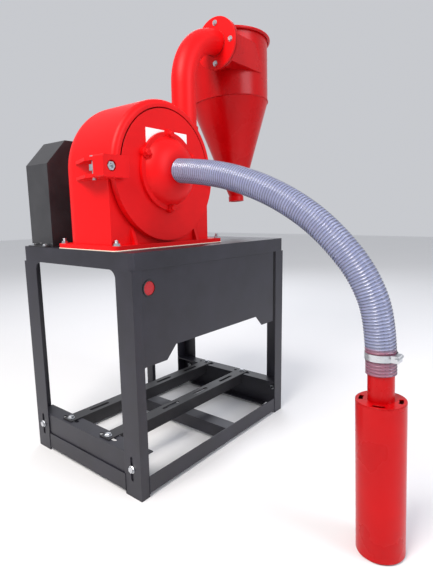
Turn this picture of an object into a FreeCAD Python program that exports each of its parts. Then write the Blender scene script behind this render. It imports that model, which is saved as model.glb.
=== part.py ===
import FreeCAD, Part
import math
import os
import Sketcher

# Self-priming hammer mill on a bolted stand, in millimetres.
# +X runs to the right along the front of the stand, +Y to the back, +Z up.
# The origin is the centre of the stand's footprint, on the floor.

doc = FreeCAD.newDocument("HammerMill")

# ---------------------------------------------------------------- driving dimensions
DIMENSIONS = {
    # stand: folded and welded sheet steel
    "frame_width": 674, "frame_depth": 472, "frame_height": 620,
    "frame_sheet": 3, "skirt_height": 42, "deck_corner": 12,
    "leg_side": 60, "leg_face_left": 28, "leg_face_right": 45, "gusset": 22,
    "base_low": 10, "base_high": 55, "base_flange": 35,
    "middle_rail_place": 10, "middle_rail_flange": 45,
    "post_place": 120, "post_width": 40,
    "slot_inset": 32, "leg_slot_middle": 78, "leg_slot_length": 66, "slot_clearance": 0.5,
    # front panel and its push button
    "panel_sheet": 2, "panel_top": 612, "panel_drop": 340, "panel_arch": 374,
    "panel_right": 280, "arch_left": -230, "arch_right": 211, "switch_place": -282.5,
    "switch_height": 532.5, "switch_hole": 21, "button_radius": 17, "button_recess": 2,
    # motor cradle
    "beam_low": 45, "beam_high": 115, "beam_flange": 45, "beam_gap": 0.3,
    "rail_width": 40, "rail_drop": 37, "rail_end_gap": 9, "rail_slot_length": 70,
    "rail_slot_pitch": 140, "front_rail_line": -79, "rear_rail_line": 94,
    "rail_line_inset": 20, "beam_slot_length": 70,
    "bolt_radius": 5, "bolt_clearance": 0.2, "bolt_head": 8.5, "bolt_head_height": 6.5,
    # mill casting on the deck
    "shaft_place": -148, "shaft_height": 814, "casing_radius": 178,
    "casing_front": -156, "casing_back": 44, "casing_wall": 10, "casing_round": 60,
    "foot_left": -333, "foot_right": 77, "foot_front": -176, "foot_back": 64,
    "foot_thick": 13, "foot_corner": 14, "chamber_radius": 138, "chamber_depth": 38,
    "partition": 6, "fan_chamber": 54, "eye_radius": 60,
    "hood_radius": 158, "hood_depth": 20, "hood_foot": 28, "hood_round": 14,
    # door
    "door_radius": 155, "door_skirt_radius": 176, "door_thick": 17, "door_gap": 3,
    "door_inlet": 58, "door_taper": 12,
    # hinge on the left and swing bolt on the right
    "pin_radius": 5, "running_gap": 0.05, "hinge_place": -345, "latch_place": 47,
    "pin_line": -131, "ear_thick": 8, "ear_gap": 30, "ear_overhang": 16,
    "block_height": 50, "block_front": -196, "block_reach": 24, "eye_ring": 11,
    "eye_height": 14, "eyebolt_radius": 6, "eyebolt_end": -188, "nut_slack": 6,
    # inlet bell on the door
    "bell_flange": 98, "bell_flange_thick": 8, "bell_radius": 86, "bell_shoulder": 36,
    "bell_end": -216, "spigot_length": 34, "spigot_wall": 2.2, "lug_circle": 92,
    "lug_radius": 13, "lug_spread": 64,
    # rotor
    "shaft_front": -168, "shaft_back": 204, "shaft_radius": 15, "bearing_seat": 17.5,
    "hub_radius": 20, "disc_radius": 92, "disc_thick": 5, "pin_circle": 72,
    "hammer_pin": 6, "hammer_reach": 56, "hammer_width": 28, "hammer_thick": 5,
    "screen_radius": 136, "screen_sheet": 1.5, "screen_hole": 5,
    "fan_radius": 130, "fan_blade": 4, "bearing_radius": 36, "bearing_width": 20,
    "pulley_radius": 70, "pulley_width": 52, "pulley_front": 140,
    # belt guard
    "guard_left": -315, "guard_right": 19, "guard_front": 116, "guard_back": 224,
    "guard_shoulder": 846, "guard_top": 912, "guard_slope": 60, "guard_sheet": 2,
    "guard_foot": 18,
    # discharge pipe
    "pipe_place": 17, "pipe_line": -86, "pipe_radius": 36, "pipe_wall": 3,
    "socket_radius": 40, "socket_top": 958, "pipe_foot": 880, "bend_radius": 150,
    "outlet_height": 1227, "flange_radius": 76, "flange_thick": 8, "bolt_circle": 58.6,
    "gasket_thick": 2.5, "m8_radius": 4, "m8_head": 7, "m8_head_height": 5.5,
    # cyclone, tipped about the axis of its inlet flange
    "cyclone_place": 387, "cyclone_line": 34, "cyclone_top": 1318, "cyclone_waist": 1105,
    "cyclone_foot": 776, "cyclone_top_radius": 150, "cyclone_waist_radius": 139,
    "cyclone_outlet": 25, "cyclone_wall": 2.5, "duct_width": 50, "duct_height": 92,
    "rim_bead": 5, "collar_length": 36, "cyclone_tilt": 4.5,
    # suction hose and nozzle
    "hose_radius": 30.5, "hose_bore": 26.5, "hose_gap": 0.3, "nozzle_tilt": 2.5,
    "nozzle_length": 330, "nozzle_radius": 50, "nozzle_sheet": 1.5, "neck_radius": 26.3,
    "neck_wall": 2, "neck_insert": 55, "clamp_place": 36, "clamp_width": 14, "clamp_sheet": 1.2,
}

# The hose's centre line, from the bell's shoulder to the nozzle's neck.
HOSE_ROUTE = [
    (-148, -216.3, 814), (-148, -301, 806), (-147, -393, 786), (-145, -485, 753),
    (-142, -570, 706), (-139, -634, 653), (-134, -694.5, 582), (-130, -731, 492),
    (-130, -735.5, 388),
]

sheet = doc.addObject("Spreadsheet::Sheet", "Sizes")


class Size:
    """A number together with its spreadsheet formula; arithmetic keeps the two in step."""

    def __init__(self, value, text):
        self.value = value
        self.text = text

    @staticmethod
    def of(other):
        return other if isinstance(other, Size) else Size(other, repr(other))

    def __add__(self, other):
        other = Size.of(other)
        return Size(self.value + other.value, f"({self.text} + {other.text})")

    def __sub__(self, other):
        other = Size.of(other)
        return Size(self.value - other.value, f"({self.text} - {other.text})")

    def __mul__(self, other):
        other = Size.of(other)
        return Size(self.value * other.value, f"({self.text} * {other.text})")

    def __truediv__(self, other):
        other = Size.of(other)
        return Size(self.value / other.value, f"({self.text} / {other.text})")

    def __neg__(self):
        return Size(-self.value, f"(-1 * {self.text})")

    __radd__ = __add__
    __rmul__ = __mul__

    def __rsub__(self, other):
        return Size.of(other) - self


class Dimensions:
    """The spreadsheet's cells by name."""


d = Dimensions()
for row, (alias, number) in enumerate(DIMENSIONS.items(), start=1):
    sheet.set(f"A{row}", alias)
    sheet.set(f"B{row}", str(number))
    sheet.setAlias(f"B{row}", alias)
    setattr(d, alias, Size(number, f"Sizes.{alias}"))
doc.recompute()
bolt_hole = d.bolt_radius + d.bolt_clearance


# ---------------------------------------------------------------- building blocks
nodes = []


def bind(thing, prop, size):
    """Ties a property to its formula in the spreadsheet."""
    size = Size.of(size)
    thing.setExpression(prop, size.text)


def place(thing, x=0, y=0, z=0, axis=(0, 0, 1), turn=0):
    """Sets a Placement: the turn is fixed, the position follows the spreadsheet."""
    turned = FreeCAD.Rotation(FreeCAD.Vector(*axis), turn)
    thing.Placement = FreeCAD.Placement(FreeCAD.Vector(0, 0, 0), turned)
    for letter, size in zip("xyz", (x, y, z)):
        bind(thing, f"Placement.Base.{letter}", size)
    return thing


def node(thing, label):
    """Marks an object as one of the mill's sub-parts."""
    thing.Label = label
    nodes.append(thing)
    return thing


def box(x, y, z):
    """A block between two values on each axis."""
    thing = doc.addObject("Part::Box", "Block")
    for prop, (low, high) in zip(("Length", "Width", "Height"), (x, y, z)):
        bind(thing, prop, Size.of(high) - low)
    return place(thing, x[0], y[0], z[0])


TURN = {"X": ((0, 1, 0), 90), "Y": ((1, 0, 0), -90), "Z": ((0, 0, 1), 0)}


def rod(axis, centre, span, radius, top_radius=None):
    """A cylinder, or a cone, along X, Y or Z; centre is its other two coordinates."""
    if top_radius is None:
        thing = doc.addObject("Part::Cylinder", "Rod")
        bind(thing, "Radius", radius)
    else:
        thing = doc.addObject("Part::Cone", "Taper")
        bind(thing, "Radius1", radius)
        bind(thing, "Radius2", top_radius)
    low, high = Size.of(span[0]), Size.of(span[1])
    bind(thing, "Height", high - low)
    spot = list(centre)
    spot.insert("XYZ".index(axis), low)
    return place(thing, *spot, *TURN[axis])


def hexagon(axis, centre, span, radius):
    """A hexagonal head or nut along X, Y or Z."""
    thing = doc.addObject("Part::Prism", "Hexagon")
    thing.Polygon = 6
    bind(thing, "Circumradius", radius)
    low, high = Size.of(span[0]), Size.of(span[1])
    bind(thing, "Height", high - low)
    spot = list(centre)
    spot.insert("XYZ".index(axis), low)
    return place(thing, *spot, *TURN[axis])


def fuse(*things):
    if len(things) == 1:
        return things[0]
    joined = doc.addObject("Part::MultiFuse", "Join")
    joined.Shapes = list(things)
    joined.Refine = True
    return joined


def group(*things):
    """Separate solids, such as a set of bolts, held in one sub-part."""
    bundle = doc.addObject("Part::Compound", "Group")
    bundle.Links = list(things)
    return bundle


def cut(base, *tools):
    cutter = doc.addObject("Part::Cut", "Cut")
    cutter.Base = base
    cutter.Tool = fuse(*tools)
    return cutter


def hex_bolt(axis, centre, head_from, nut_to, radius=None, head=None, height=None, sign=1):
    """A bolt with its head at head_from and a nut at nut_to, along sign times the axis."""
    radius = radius or d.bolt_radius
    head = head or d.bolt_head
    height = height or d.bolt_head_height
    head_from, nut_to = Size.of(head_from), Size.of(nut_to)
    if sign > 0:
        spans = ((head_from - height, head_from), (nut_to, nut_to + height))
        shank = (head_from, nut_to + height + 3)
    else:
        spans = ((head_from, head_from + height), (nut_to - height, nut_to))
        shank = (nut_to - height - 3, head_from)
    ends = [hexagon(axis, centre, span, head) for span in spans]
    return fuse(rod(axis, centre, shank, radius), *ends)


ROLE = {"XY": "XY_Plane", "XZ": "XZ_Plane", "YZ": "YZ_Plane"}


def arc_between(start, end, radius):
    """The arc from start to end: a positive radius turns left, a negative one right."""
    chord = end - start
    middle = (start + end) / 2
    rise = math.sqrt(max(radius * radius - chord.Length ** 2 / 4, 0))
    left = FreeCAD.Vector(-chord.y, chord.x, 0).normalize()
    centre = middle + left * (rise if radius > 0 else -rise)
    if radius > 0:
        return Part.Arc(start, centre - left * radius, end)
    return Part.Arc(end, centre - left * radius, start)


def draw(body, plane, outlines, height=0):
    """A fully constrained sketch on one of a body's own origin planes.

    An outline is a list of points (x, y) joined by lines. A third value is the radius of
    the arc that leads to the point. A circle is ("circle", x, y, radius).
    """
    sketch = body.newObject("Sketcher::SketchObject", "Sketch")
    origin = [f for f in body.Origin.OriginFeatures if f.Role == ROLE[plane]][0]
    sketch.AttachmentSupport = [(origin, "")]
    sketch.MapMode = "FlatFace"
    bind(sketch, "AttachmentOffset.Base.z", height)

    def fix(kind, *args):
        size = Size.of(args[-1])
        index = sketch.addConstraint(Sketcher.Constraint(kind, *args[:-1], size.value))
        bind(sketch, f"Constraints[{index}]", size)

    for outline in outlines:
        if outline[0] == "circle":
            x, y, radius = (Size.of(v) for v in outline[1:])
            centre = FreeCAD.Vector(x.value, y.value, 0)
            ring = sketch.addGeometry(
                Part.Circle(centre, FreeCAD.Vector(0, 0, 1), radius.value))
            fix("DistanceX", ring, 3, x)
            fix("DistanceY", ring, 3, y)
            fix("Radius", ring, radius)
            continue
        spots = [FreeCAD.Vector(Size.of(p[0]).value, Size.of(p[1]).value, 0) for p in outline]
        edges = []
        for number, point in enumerate(outline):
            start, end = spots[number - 1], spots[number]
            if len(point) == 2:
                edge = sketch.addGeometry(Part.LineSegment(start, end))
                edges.append((edge, 1, 2))
                continue
            radius = Size.of(point[2])
            edge = sketch.addGeometry(arc_between(start, end, radius.value))
            first = sketch.Geometry[edge].StartPoint
            ahead = (first - start).Length < (first - end).Length
            edges.append((edge, 1, 2) if ahead else (edge, 2, 1))
        for number, (edge, first, last) in enumerate(edges):
            following, following_first, _ = edges[(number + 1) % len(edges)]
            sketch.addConstraint(Sketcher.Constraint(
                "Coincident", edge, last, following, following_first))
            fix("DistanceX", edge, last, outline[number][0])
            fix("DistanceY", edge, last, outline[number][1])
            if len(outline[number]) == 3:
                radius = Size.of(outline[number][2])
                turned = radius if radius.value > 0 else -radius
                chord = spots[number] - spots[number - 1]
                level = abs(chord.x) > abs(chord.y)
                if abs(chord.Length - 2 * turned.value) > 0.001:
                    fix("Radius", edge, turned)
                else:
                    # A half circle: its centre is midway between its two ends.
                    ends = [Size.of(outline[n][1 if level else 0]) for n in (number, number - 1)]
                    fix("DistanceY" if level else "DistanceX", edge, 3, (ends[0] + ends[1]) / 2)
    return sketch


def new_body(label):
    return node(doc.addObject("PartDesign::Body", "Body"), label)


# A sketch on XZ faces -Y, so its heights count backwards.
def pad(body, plane, outlines, low, high):
    low, high = Size.of(low), Size.of(high)
    sketch = draw(body, plane, outlines, -high if plane == "XZ" else low)
    feature = body.newObject("PartDesign::Pad", "Pad")
    feature.Profile = sketch
    bind(feature, "Length", high - low)
    return feature


def pocket(body, plane, outlines, low, high):
    low, high = Size.of(low), Size.of(high)
    sketch = draw(body, plane, outlines, -low if plane == "XZ" else high)
    feature = body.newObject("PartDesign::Pocket", "Pocket")
    feature.Profile = sketch
    bind(feature, "Length", high - low)
    return feature


def turn(body, outline, axis, kind="Revolution"):
    """Revolves (along, radius) points about the body's own X, Y or Z axis."""
    if axis == "Z":
        outline = [(p[1], p[0], *p[2:]) for p in outline]
    plane = {"X": "XZ", "Y": "YZ", "Z": "XZ"}[axis]
    sketch = draw(body, plane, [outline])
    feature = body.newObject(f"PartDesign::{kind}", kind)
    feature.Profile = sketch
    feature.ReferenceAxis = (sketch, ["V_Axis" if axis == "Z" else "H_Axis"])
    feature.Angle = 360
    return feature


def repeat(body, feature, axis, count):
    """A polar pattern of one feature about the body's own axis."""
    doc.recompute()
    pattern = body.newObject("PartDesign::PolarPattern", "Pattern")
    pattern.Originals = [feature]
    line = [f for f in body.Origin.OriginFeatures if f.Role == f"{axis}_Axis"][0]
    pattern.Axis = (line, [""])
    pattern.Angle = 360
    pattern.Occurrences = count
    body.Tip = pattern
    return pattern


def rectangle(x, y):
    return [(x[0], y[0]), (x[1], y[0]), (x[1], y[1]), (x[0], y[1])]


def rounded(x, y, radius):
    """A rectangle with round corners, drawn to the left."""
    (x0, x1), (y0, y1) = x, y
    return [
        (x1 - radius, y0), (x1, y0 + radius, radius), (x1, y1 - radius),
        (x1 - radius, y1, radius), (x0 + radius, y1), (x0, y1 - radius, radius),
        (x0, y0 + radius), (x0 + radius, y0, radius),
    ]


def polar(radius, degrees):
    """Two coordinates at an angle, for places on a circle."""
    angle = math.radians(degrees)
    return radius * round(math.cos(angle), 9), radius * round(math.sin(angle), 9)


# ---------------------------------------------------------------- stand
half_width = d.frame_width / 2
half_depth = d.frame_depth / 2
leg_top = d.frame_height - d.skirt_height

# The deck is one sheet folded down along its four sides.
deck = new_body("deck")
outside = rounded((-half_width, half_width), (-half_depth, half_depth), d.deck_corner)
pad(deck, "XY", [outside], leg_top, d.frame_height)
inside = rounded((d.frame_sheet - half_width, half_width - d.frame_sheet),
                 (d.frame_sheet - half_depth, half_depth - d.frame_sheet),
                 d.deck_corner - d.frame_sheet)
pocket(deck, "XY", [inside], leg_top, d.frame_height - d.frame_sheet)
belt_slot_x = (d.guard_left + 30, d.guard_right - 30)
belt_slot_y = (d.guard_front + 20, d.guard_back - 20)
pocket(deck, "XY", [rounded(belt_slot_x, belt_slot_y, 12)],
       d.frame_height - d.frame_sheet, d.frame_height)


def leg(label, side, face, face_width):
    """A corner leg folded to an L, with a rounded gusset where it meets the skirt.

    side is -1 on the left and 1 on the right, face -1 at the front and 1 at the back.
    """
    x0, y0 = half_width * side, half_depth * face
    x1, y1 = x0 - d.frame_sheet * side, y0 - d.frame_sheet * face
    x2, y2 = x0 - face_width * side, y0 - d.leg_side * face
    body = new_body(label)
    pad(body, "XY", [[(x0, y0), (x2, y0), (x2, y1), (x1, y1), (x1, y2), (x0, y2)]],
        0, leg_top)
    corner = [(y2, leg_top - d.gusset), (y2 - d.gusset * face, leg_top, d.gusset * face),
              (y2, leg_top)]
    low, high = (x0, x1) if side < 0 else (x1, x0)
    pad(body, "YZ", [corner], low, high)
    line = y0 - d.slot_inset * face
    across = d.bolt_radius + d.slot_clearance
    reach = d.leg_slot_length / 2 - across
    middle = d.leg_slot_middle
    pocket(body, "YZ", [[(line - across, middle - reach), (line + across, middle - reach, across),
                         (line + across, middle + reach),
                         (line - across, middle + reach, across)]], low, high)
    return body


for name, side, face, width in (
        ("leg_front_left", -1, -1, d.leg_face_left), ("leg_front_right", 1, -1, d.leg_face_right),
        ("leg_rear_left", -1, 1, d.leg_face_right), ("leg_rear_right", 1, 1, d.leg_face_right)):
    leg(name, side, face, width)

# Base rails: angles between the legs, upright flange outside, flat flange inside.
low, high, flat = d.base_low, d.base_high, d.base_flange
for name, face, left in (("base_rail_front", -1, d.leg_face_left),
                         ("base_rail_rear", 1, d.leg_face_right)):
    y0 = half_depth * face
    y1, y2 = y0 - d.frame_sheet * face, y0 - flat * face
    body = new_body(name)
    pad(body, "YZ", [[(y0, low), (y2, low), (y2, low + d.frame_sheet),
                      (y1, low + d.frame_sheet), (y1, high), (y0, high)]],
        left - half_width, half_width - d.leg_face_right)
for name, side in (("base_rail_left", -1), ("base_rail_right", 1)):
    x0 = half_width * side
    x1, x2 = x0 - d.frame_sheet * side, x0 - flat * side
    body = new_body(name)
    pad(body, "XZ", [[(x0, low), (x2, low), (x2, low + d.frame_sheet),
                      (x1, low + d.frame_sheet), (x1, high), (x0, high)]],
        d.leg_side - half_depth, half_depth - d.leg_side)
body = new_body("base_rail_middle")
x0, floor_flange = d.middle_rail_place, low + d.frame_sheet
pad(body, "XZ", [[(x0, floor_flange), (x0 + d.frame_sheet, floor_flange),
                  (x0 + d.frame_sheet, high - d.frame_sheet),
                  (x0 + d.middle_rail_flange, high - d.frame_sheet),
                  (x0 + d.middle_rail_flange, high), (x0, high)]],
    d.frame_sheet - half_depth, half_depth - d.frame_sheet)

# A post stiffens the back, between the rear base rail and the skirt.
body = new_body("rear_post")
x0, x1 = d.post_place, d.post_place + d.post_width
y0 = half_depth
pad(body, "XY", [[(x0, y0), (x0, y0 - 30), (x0 + d.frame_sheet, y0 - 30),
                  (x0 + d.frame_sheet, y0 - d.frame_sheet), (x1, y0 - d.frame_sheet),
                  (x1, y0)]], high, leg_top)

# The front panel hangs behind the skirt and the left leg; its lower edge is cut to an arch.
panel_face = d.frame_sheet - half_depth
panel_left = d.frame_sheet + d.deck_corner - half_width
panel = new_body("front_panel")
arch = d.panel_arch - d.panel_drop
pad(panel, "XZ", [[
    (panel_left, d.panel_drop), (d.arch_left, d.panel_drop),
    (d.arch_left + arch, d.panel_arch), (d.arch_right - arch, d.panel_arch),
    (d.arch_right, d.panel_drop), (d.panel_right, d.panel_drop),
    (d.panel_right, d.panel_top), (panel_left, d.panel_top)]],
    panel_face, panel_face + d.panel_sheet)
pocket(panel, "XZ", [("circle", d.switch_place, d.switch_height, d.switch_hole)],
       panel_face, panel_face + d.panel_sheet)

# Push button: a closed bezel clipped in the panel's hole, and a cap that travels inside it.
spot = (d.switch_place, d.switch_height)
rim = panel_face - 1.5
bezel_outside = d.switch_hole - 0.3
behind = panel_face + d.panel_sheet
well = d.button_radius + 0.4
bezel = cut(
    fuse(rod("Y", spot, (rim, behind + 28), bezel_outside),
         rod("Y", spot, (behind, behind + 4), d.switch_hole + 4)),
    rod("Y", spot, (rim - 1, behind + 26), well))
node(bezel, "switch_bezel")
node(rod("Y", spot, (rim + d.button_recess, rim + d.button_recess + 16), d.button_radius),
     "switch_button")

# ---------------------------------------------------------------- motor cradle
# Two end beams bolted through the legs' upright slots carry two slotted motor rails.
slot_line = half_depth - d.slot_inset
beam_wall = half_width - d.frame_sheet - d.beam_gap
rails = {"front": d.front_rail_line, "rear": d.rear_rail_line}
beam_end = half_depth - d.frame_sheet - 3
bolt_x = beam_wall - d.beam_flange / 2
flange_low = d.beam_high - d.frame_sheet
cradle_bolts = []
for name, side in (("left", -1), ("right", 1)):
    x0 = beam_wall * side
    x1, x2 = x0 - d.frame_sheet * side, x0 - d.beam_flange * side
    body = new_body(f"cradle_beam_{name}")
    pad(body, "XZ", [[(x0, d.beam_low), (x1, d.beam_low), (x1, flange_low),
                      (x2, flange_low), (x2, d.beam_high), (x0, d.beam_high)]],
        -beam_end, beam_end)
    web = (x0, x1) if side < 0 else (x1, x0)
    pocket(body, "YZ", [("circle", slot_line * end, d.leg_slot_middle, bolt_hole)
                        for end in (-1, 1)], *web)
    across = d.bolt_radius + d.slot_clearance
    reach = d.beam_slot_length / 2 - across
    pocket(body, "XY", [[
        (bolt_x * side - across, line - reach), (bolt_x * side + across, line - reach, across),
        (bolt_x * side + across, line + reach),
        (bolt_x * side - across, line + reach, across)] for line in rails.values()],
        flange_low, d.beam_high)
    head_face = (half_width + d.beam_gap) * side
    nut_face = (beam_wall - d.frame_sheet) * side
    cradle_bolts += [hex_bolt("X", (slot_line * end, d.leg_slot_middle), head_face, nut_face,
                              sign=-side) for end in (-1, 1)]
node(group(*cradle_bolts), "cradle_bolts")

rail_top = d.beam_high + d.frame_sheet
rail_end = beam_wall - d.rail_end_gap
rail_web_end = beam_wall - d.beam_flange - 4
for name, line in rails.items():
    back = line + d.rail_line_inset
    front = back - d.rail_width
    body = new_body(f"motor_rail_{name}")
    pad(body, "XY", [rectangle((-rail_end, rail_end), (front, back))], d.beam_high, rail_top)
    pad(body, "XY", [rectangle((-rail_web_end, rail_web_end), (front, front + d.frame_sheet))],
        rail_top - d.rail_drop, rail_top)
    reach = d.rail_slot_length / 2 - across
    outlines = []
    for step in (-1.5, -0.5, 0.5, 1.5):
        middle = d.rail_slot_pitch * step
        outlines.append([
            (middle + reach, line - across), (middle + reach, line + across, across),
            (middle - reach, line + across), (middle - reach, line - across, across)])
    pocket(body, "XY", outlines, d.beam_high, rail_top)
    pocket(body, "XY", [("circle", bolt_x * side, line, bolt_hole) for side in (-1, 1)],
           d.beam_high, rail_top)
    node(group(*[hex_bolt("Z", (bolt_x * side, line), rail_top, flange_low - d.beam_gap,
                          sign=-1) for side in (-1, 1)]), f"motor_rail_bolts_{name}")

# ---------------------------------------------------------------- mill casting
deck_top = d.frame_height
foot_top = deck_top + d.foot_thick
shaft = (d.shaft_place, d.shaft_height)
left_wall = d.shaft_place - d.casing_radius
right_wall = d.shaft_place + d.casing_radius
chamber_back = d.casing_front + d.chamber_depth
fan_front = chamber_back + d.partition
fan_back = fan_front + d.fan_chamber
cavity_front = fan_back + d.partition
foot_hole_x = (d.foot_left + 14, d.foot_right - 16)
foot_hole_y = (d.foot_front + 10, d.foot_back - 14)

casing = new_body("mill_housing")
block = pad(casing, "XZ", [[
    (left_wall, foot_top), (right_wall, foot_top), (right_wall, d.shaft_height),
    (left_wall, d.shaft_height, d.casing_radius)]], d.casing_front, d.casing_back)
doc.recompute()
back_edges = []
for number, edge in enumerate(casing.Shape.Edges, start=1):
    ends = [v.Point for v in edge.Vertexes]
    at_back = all(abs(p.y - d.casing_back.value) < 0.01 for p in ends)
    flat = all(abs(p.z - foot_top.value) < 0.01 for p in ends)
    if at_back and not flat:
        back_edges.append(f"Edge{number}")
rounding = casing.newObject("PartDesign::Fillet", "BackRound")
rounding.Base = (block, back_edges)
bind(rounding, "Radius", d.casing_round)
# The hood is the half ring that stands out over the top of the door.
hood_low = d.shaft_height + d.hood_foot
pad(casing, "XZ", [
    ("circle", d.shaft_place, d.shaft_height, d.casing_radius),
    ("circle", d.shaft_place, d.shaft_height, d.hood_radius)],
    d.casing_front - d.hood_depth, d.casing_front)
pocket(casing, "XZ", [rectangle((left_wall - 5, right_wall + 5),
                                (foot_top + 1, hood_low))],
       d.casing_front - d.hood_depth - 1, d.casing_front)
doc.recompute()
hood_face = (d.casing_front - d.hood_depth).value
hood_edges = []
for number, edge in enumerate(casing.Shape.Edges, start=1):
    at_face = all(abs(v.Point.y - hood_face) < 0.01 for v in edge.Vertexes)
    if at_face and abs(getattr(edge.Curve, "Radius", 0) - d.casing_radius.value) < 0.01:
        hood_edges.append(f"Edge{number}")
hood = casing.Tip
hood_rounding = casing.newObject("PartDesign::Fillet", "HoodRound")
hood_rounding.Base = (hood, hood_edges)
bind(hood_rounding, "Radius", d.hood_round)
pad(casing, "XY", [rounded((d.foot_left, d.foot_right), (d.foot_front, d.foot_back),
                           d.foot_corner)], deck_top, foot_top)
# Two ribs brace the front wall on the foot.
for spot in (d.shaft_place - 118, d.shaft_place + 110):
    pad(casing, "YZ", [[(d.casing_front, foot_top), (d.casing_front, foot_top + 46),
                        (d.foot_front + 3, foot_top)]], spot, spot + 9)
# The outlet socket stands on the right, tangent to the fan chamber.
pad(casing, "XY", [("circle", d.pipe_place, d.pipe_line, d.socket_radius)],
    d.shaft_height - 90, d.socket_top)
# Ears for the hinge pin on the left and the swing bolt's pin on the right.
for side, wall, pin in ((-1, left_wall, d.hinge_place), (1, right_wall, d.latch_place)):
    outer = pin + d.ear_overhang * side
    for level in (d.shaft_height + d.ear_gap / 2,
                  d.shaft_height - d.ear_gap / 2 - d.ear_thick):
        pad(casing, "XY", [[
            (wall - 12 * side, d.pin_line - 20), (outer - 6 * side, d.pin_line - 20),
            (outer, d.pin_line - 12), (outer, d.pin_line + 14), (wall, d.pin_line + 100),
            (wall - 12 * side, d.pin_line + 100)]], level, level + d.ear_thick)
    pocket(casing, "XY", [("circle", pin, d.pin_line, d.pin_radius + d.running_gap)],
           d.shaft_height - d.ear_gap, d.shaft_height + d.ear_gap)
# Hollows: hammer chamber, eye, fan chamber, bearing cavity, outlet and the foot's bolt holes.
pocket(casing, "XZ", [("circle", *shaft, d.chamber_radius)], d.casing_front, chamber_back)
pocket(casing, "XZ", [("circle", *shaft, d.eye_radius)], chamber_back, fan_front)
pocket(casing, "XZ", [("circle", *shaft, d.chamber_radius)], fan_front, fan_back)
pocket(casing, "XY", [("circle", d.pipe_place, d.pipe_line, d.pipe_radius - d.pipe_wall)],
       d.shaft_height, d.pipe_foot)
pocket(casing, "XY", [("circle", d.pipe_place, d.pipe_line, d.pipe_radius + 0.2)],
       d.pipe_foot, d.socket_top)
inner = d.casing_radius - d.casing_wall
pocket(casing, "XZ", [[
    (d.shaft_place - inner, foot_top), (d.shaft_place + inner, foot_top),
    (d.shaft_place + inner, d.shaft_height), (d.shaft_place - inner, d.shaft_height, inner)]],
    cavity_front, d.casing_back - d.casing_round)
core = inner - d.casing_round * 0.55
pocket(casing, "XZ", [[
    (d.shaft_place - core, foot_top), (d.shaft_place + core, foot_top),
    (d.shaft_place + core, d.shaft_height), (d.shaft_place - core, d.shaft_height, core)]],
    d.casing_back - d.casing_round, d.casing_back - d.casing_wall)
pocket(casing, "XZ", [("circle", *shaft, d.bearing_seat + 4)], fan_back, cavity_front)
pocket(casing, "XZ", [("circle", *shaft, d.bearing_radius + 6)],
       d.casing_back - d.casing_wall, d.casing_back)
pocket(casing, "XY", [("circle", x, y, bolt_hole) for x in foot_hole_x for y in foot_hole_y],
       deck_top, foot_top)

foot_bolts = []
for x in foot_hole_x:
    for y in foot_hole_y:
        foot_bolts.append(fuse(
            hexagon("Z", (x, y), (foot_top, foot_top + d.bolt_head_height), d.bolt_head),
            rod("Z", (x, y), (foot_top - 6, foot_top + d.bolt_head_height + 7), d.bolt_radius)))
node(group(*foot_bolts), "housing_bolts")
pocket(deck, "XY", [("circle", x, y, bolt_hole) for x in foot_hole_x for y in foot_hole_y],
       d.frame_height - d.frame_sheet, d.frame_height)

# A flanged cartridge in the casing's back wall holds the two shaft bearings.
cartridge_front = cavity_front + 12
cartridge_back = d.casing_back + 30
cartridge = new_body("bearing_housing")
outer = d.bearing_radius + 5.7
turn(cartridge, [
    (cartridge_front, d.bearing_radius), (cartridge_front + d.bearing_width, d.bearing_radius),
    (cartridge_front + d.bearing_width, d.bearing_seat + 5),
    (cartridge_back - d.bearing_width, d.bearing_seat + 5),
    (cartridge_back - d.bearing_width, d.bearing_radius), (cartridge_back, d.bearing_radius),
    (cartridge_back, outer + 18), (d.casing_back, outer + 18), (d.casing_back, outer),
    (cartridge_front, outer)][::-1], "Y")
place(cartridge, shaft[0], 0, shaft[1])
bearings = []
for start in (cartridge_front, cartridge_back - d.bearing_width):
    bearings.append(cut(rod("Y", shaft, (start, start + d.bearing_width), d.bearing_radius - 0.02),
                        rod("Y", shaft, (start - 1, start + d.bearing_width + 1),
                            d.bearing_seat + d.running_gap)))
node(group(*bearings), "shaft_bearings")

# ---------------------------------------------------------------- rotor
rotor_shaft = new_body("rotor_shaft")
turn(rotor_shaft, [
    (d.shaft_front, 0), (d.shaft_front, d.shaft_radius), (fan_back, d.shaft_radius),
    (fan_back, d.bearing_seat), (cartridge_back, d.bearing_seat),
    (cartridge_back, d.shaft_radius), (d.shaft_back, d.shaft_radius), (d.shaft_back, 0)][::-1],
    "Y")
place(rotor_shaft, shaft[0], 0, shaft[1])

disc_front = d.casing_front + 2
disc_back = chamber_back - 4
pins = [polar(d.pin_circle, angle) for angle in (45, 135, 225, 315)]
rotor = new_body("rotor_discs")
turn(rotor, [(disc_front, d.shaft_radius), (disc_front, d.disc_radius),
             (disc_front + d.disc_thick, d.disc_radius), (disc_front + d.disc_thick, d.hub_radius),
             (disc_back - d.disc_thick, d.hub_radius), (disc_back - d.disc_thick, d.disc_radius),
             (disc_back, d.disc_radius), (disc_back, d.shaft_radius)][::-1], "Y")
pocket(rotor, "XZ", [("circle", x, z, d.hammer_pin) for x, z in pins],
       disc_front, disc_back)
place(rotor, shaft[0], 0, shaft[1])
pin_group, spacer_group = [], []
hammer_front = disc_front + d.disc_thick + 0.4
hammer_pitch = (disc_back - disc_front - 2 * d.disc_thick - 0.8 - d.hammer_thick) / 2
gap_after = hammer_front + d.hammer_thick
for x, z in pins:
    spot = (shaft[0] + x, shaft[1] + z)
    pin_group.append(rod("Y", spot, (disc_front, disc_back), d.hammer_pin))
    for step in (0, 1):
        start = gap_after + hammer_pitch * step + 0.3
        end = hammer_front + hammer_pitch * (step + 1) - 0.3
        spacer_group.append(cut(rod("Y", spot, (start, end), d.hammer_pin + 3.5),
                                rod("Y", spot, (start - 1, end + 1), d.hammer_pin)))
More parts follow.
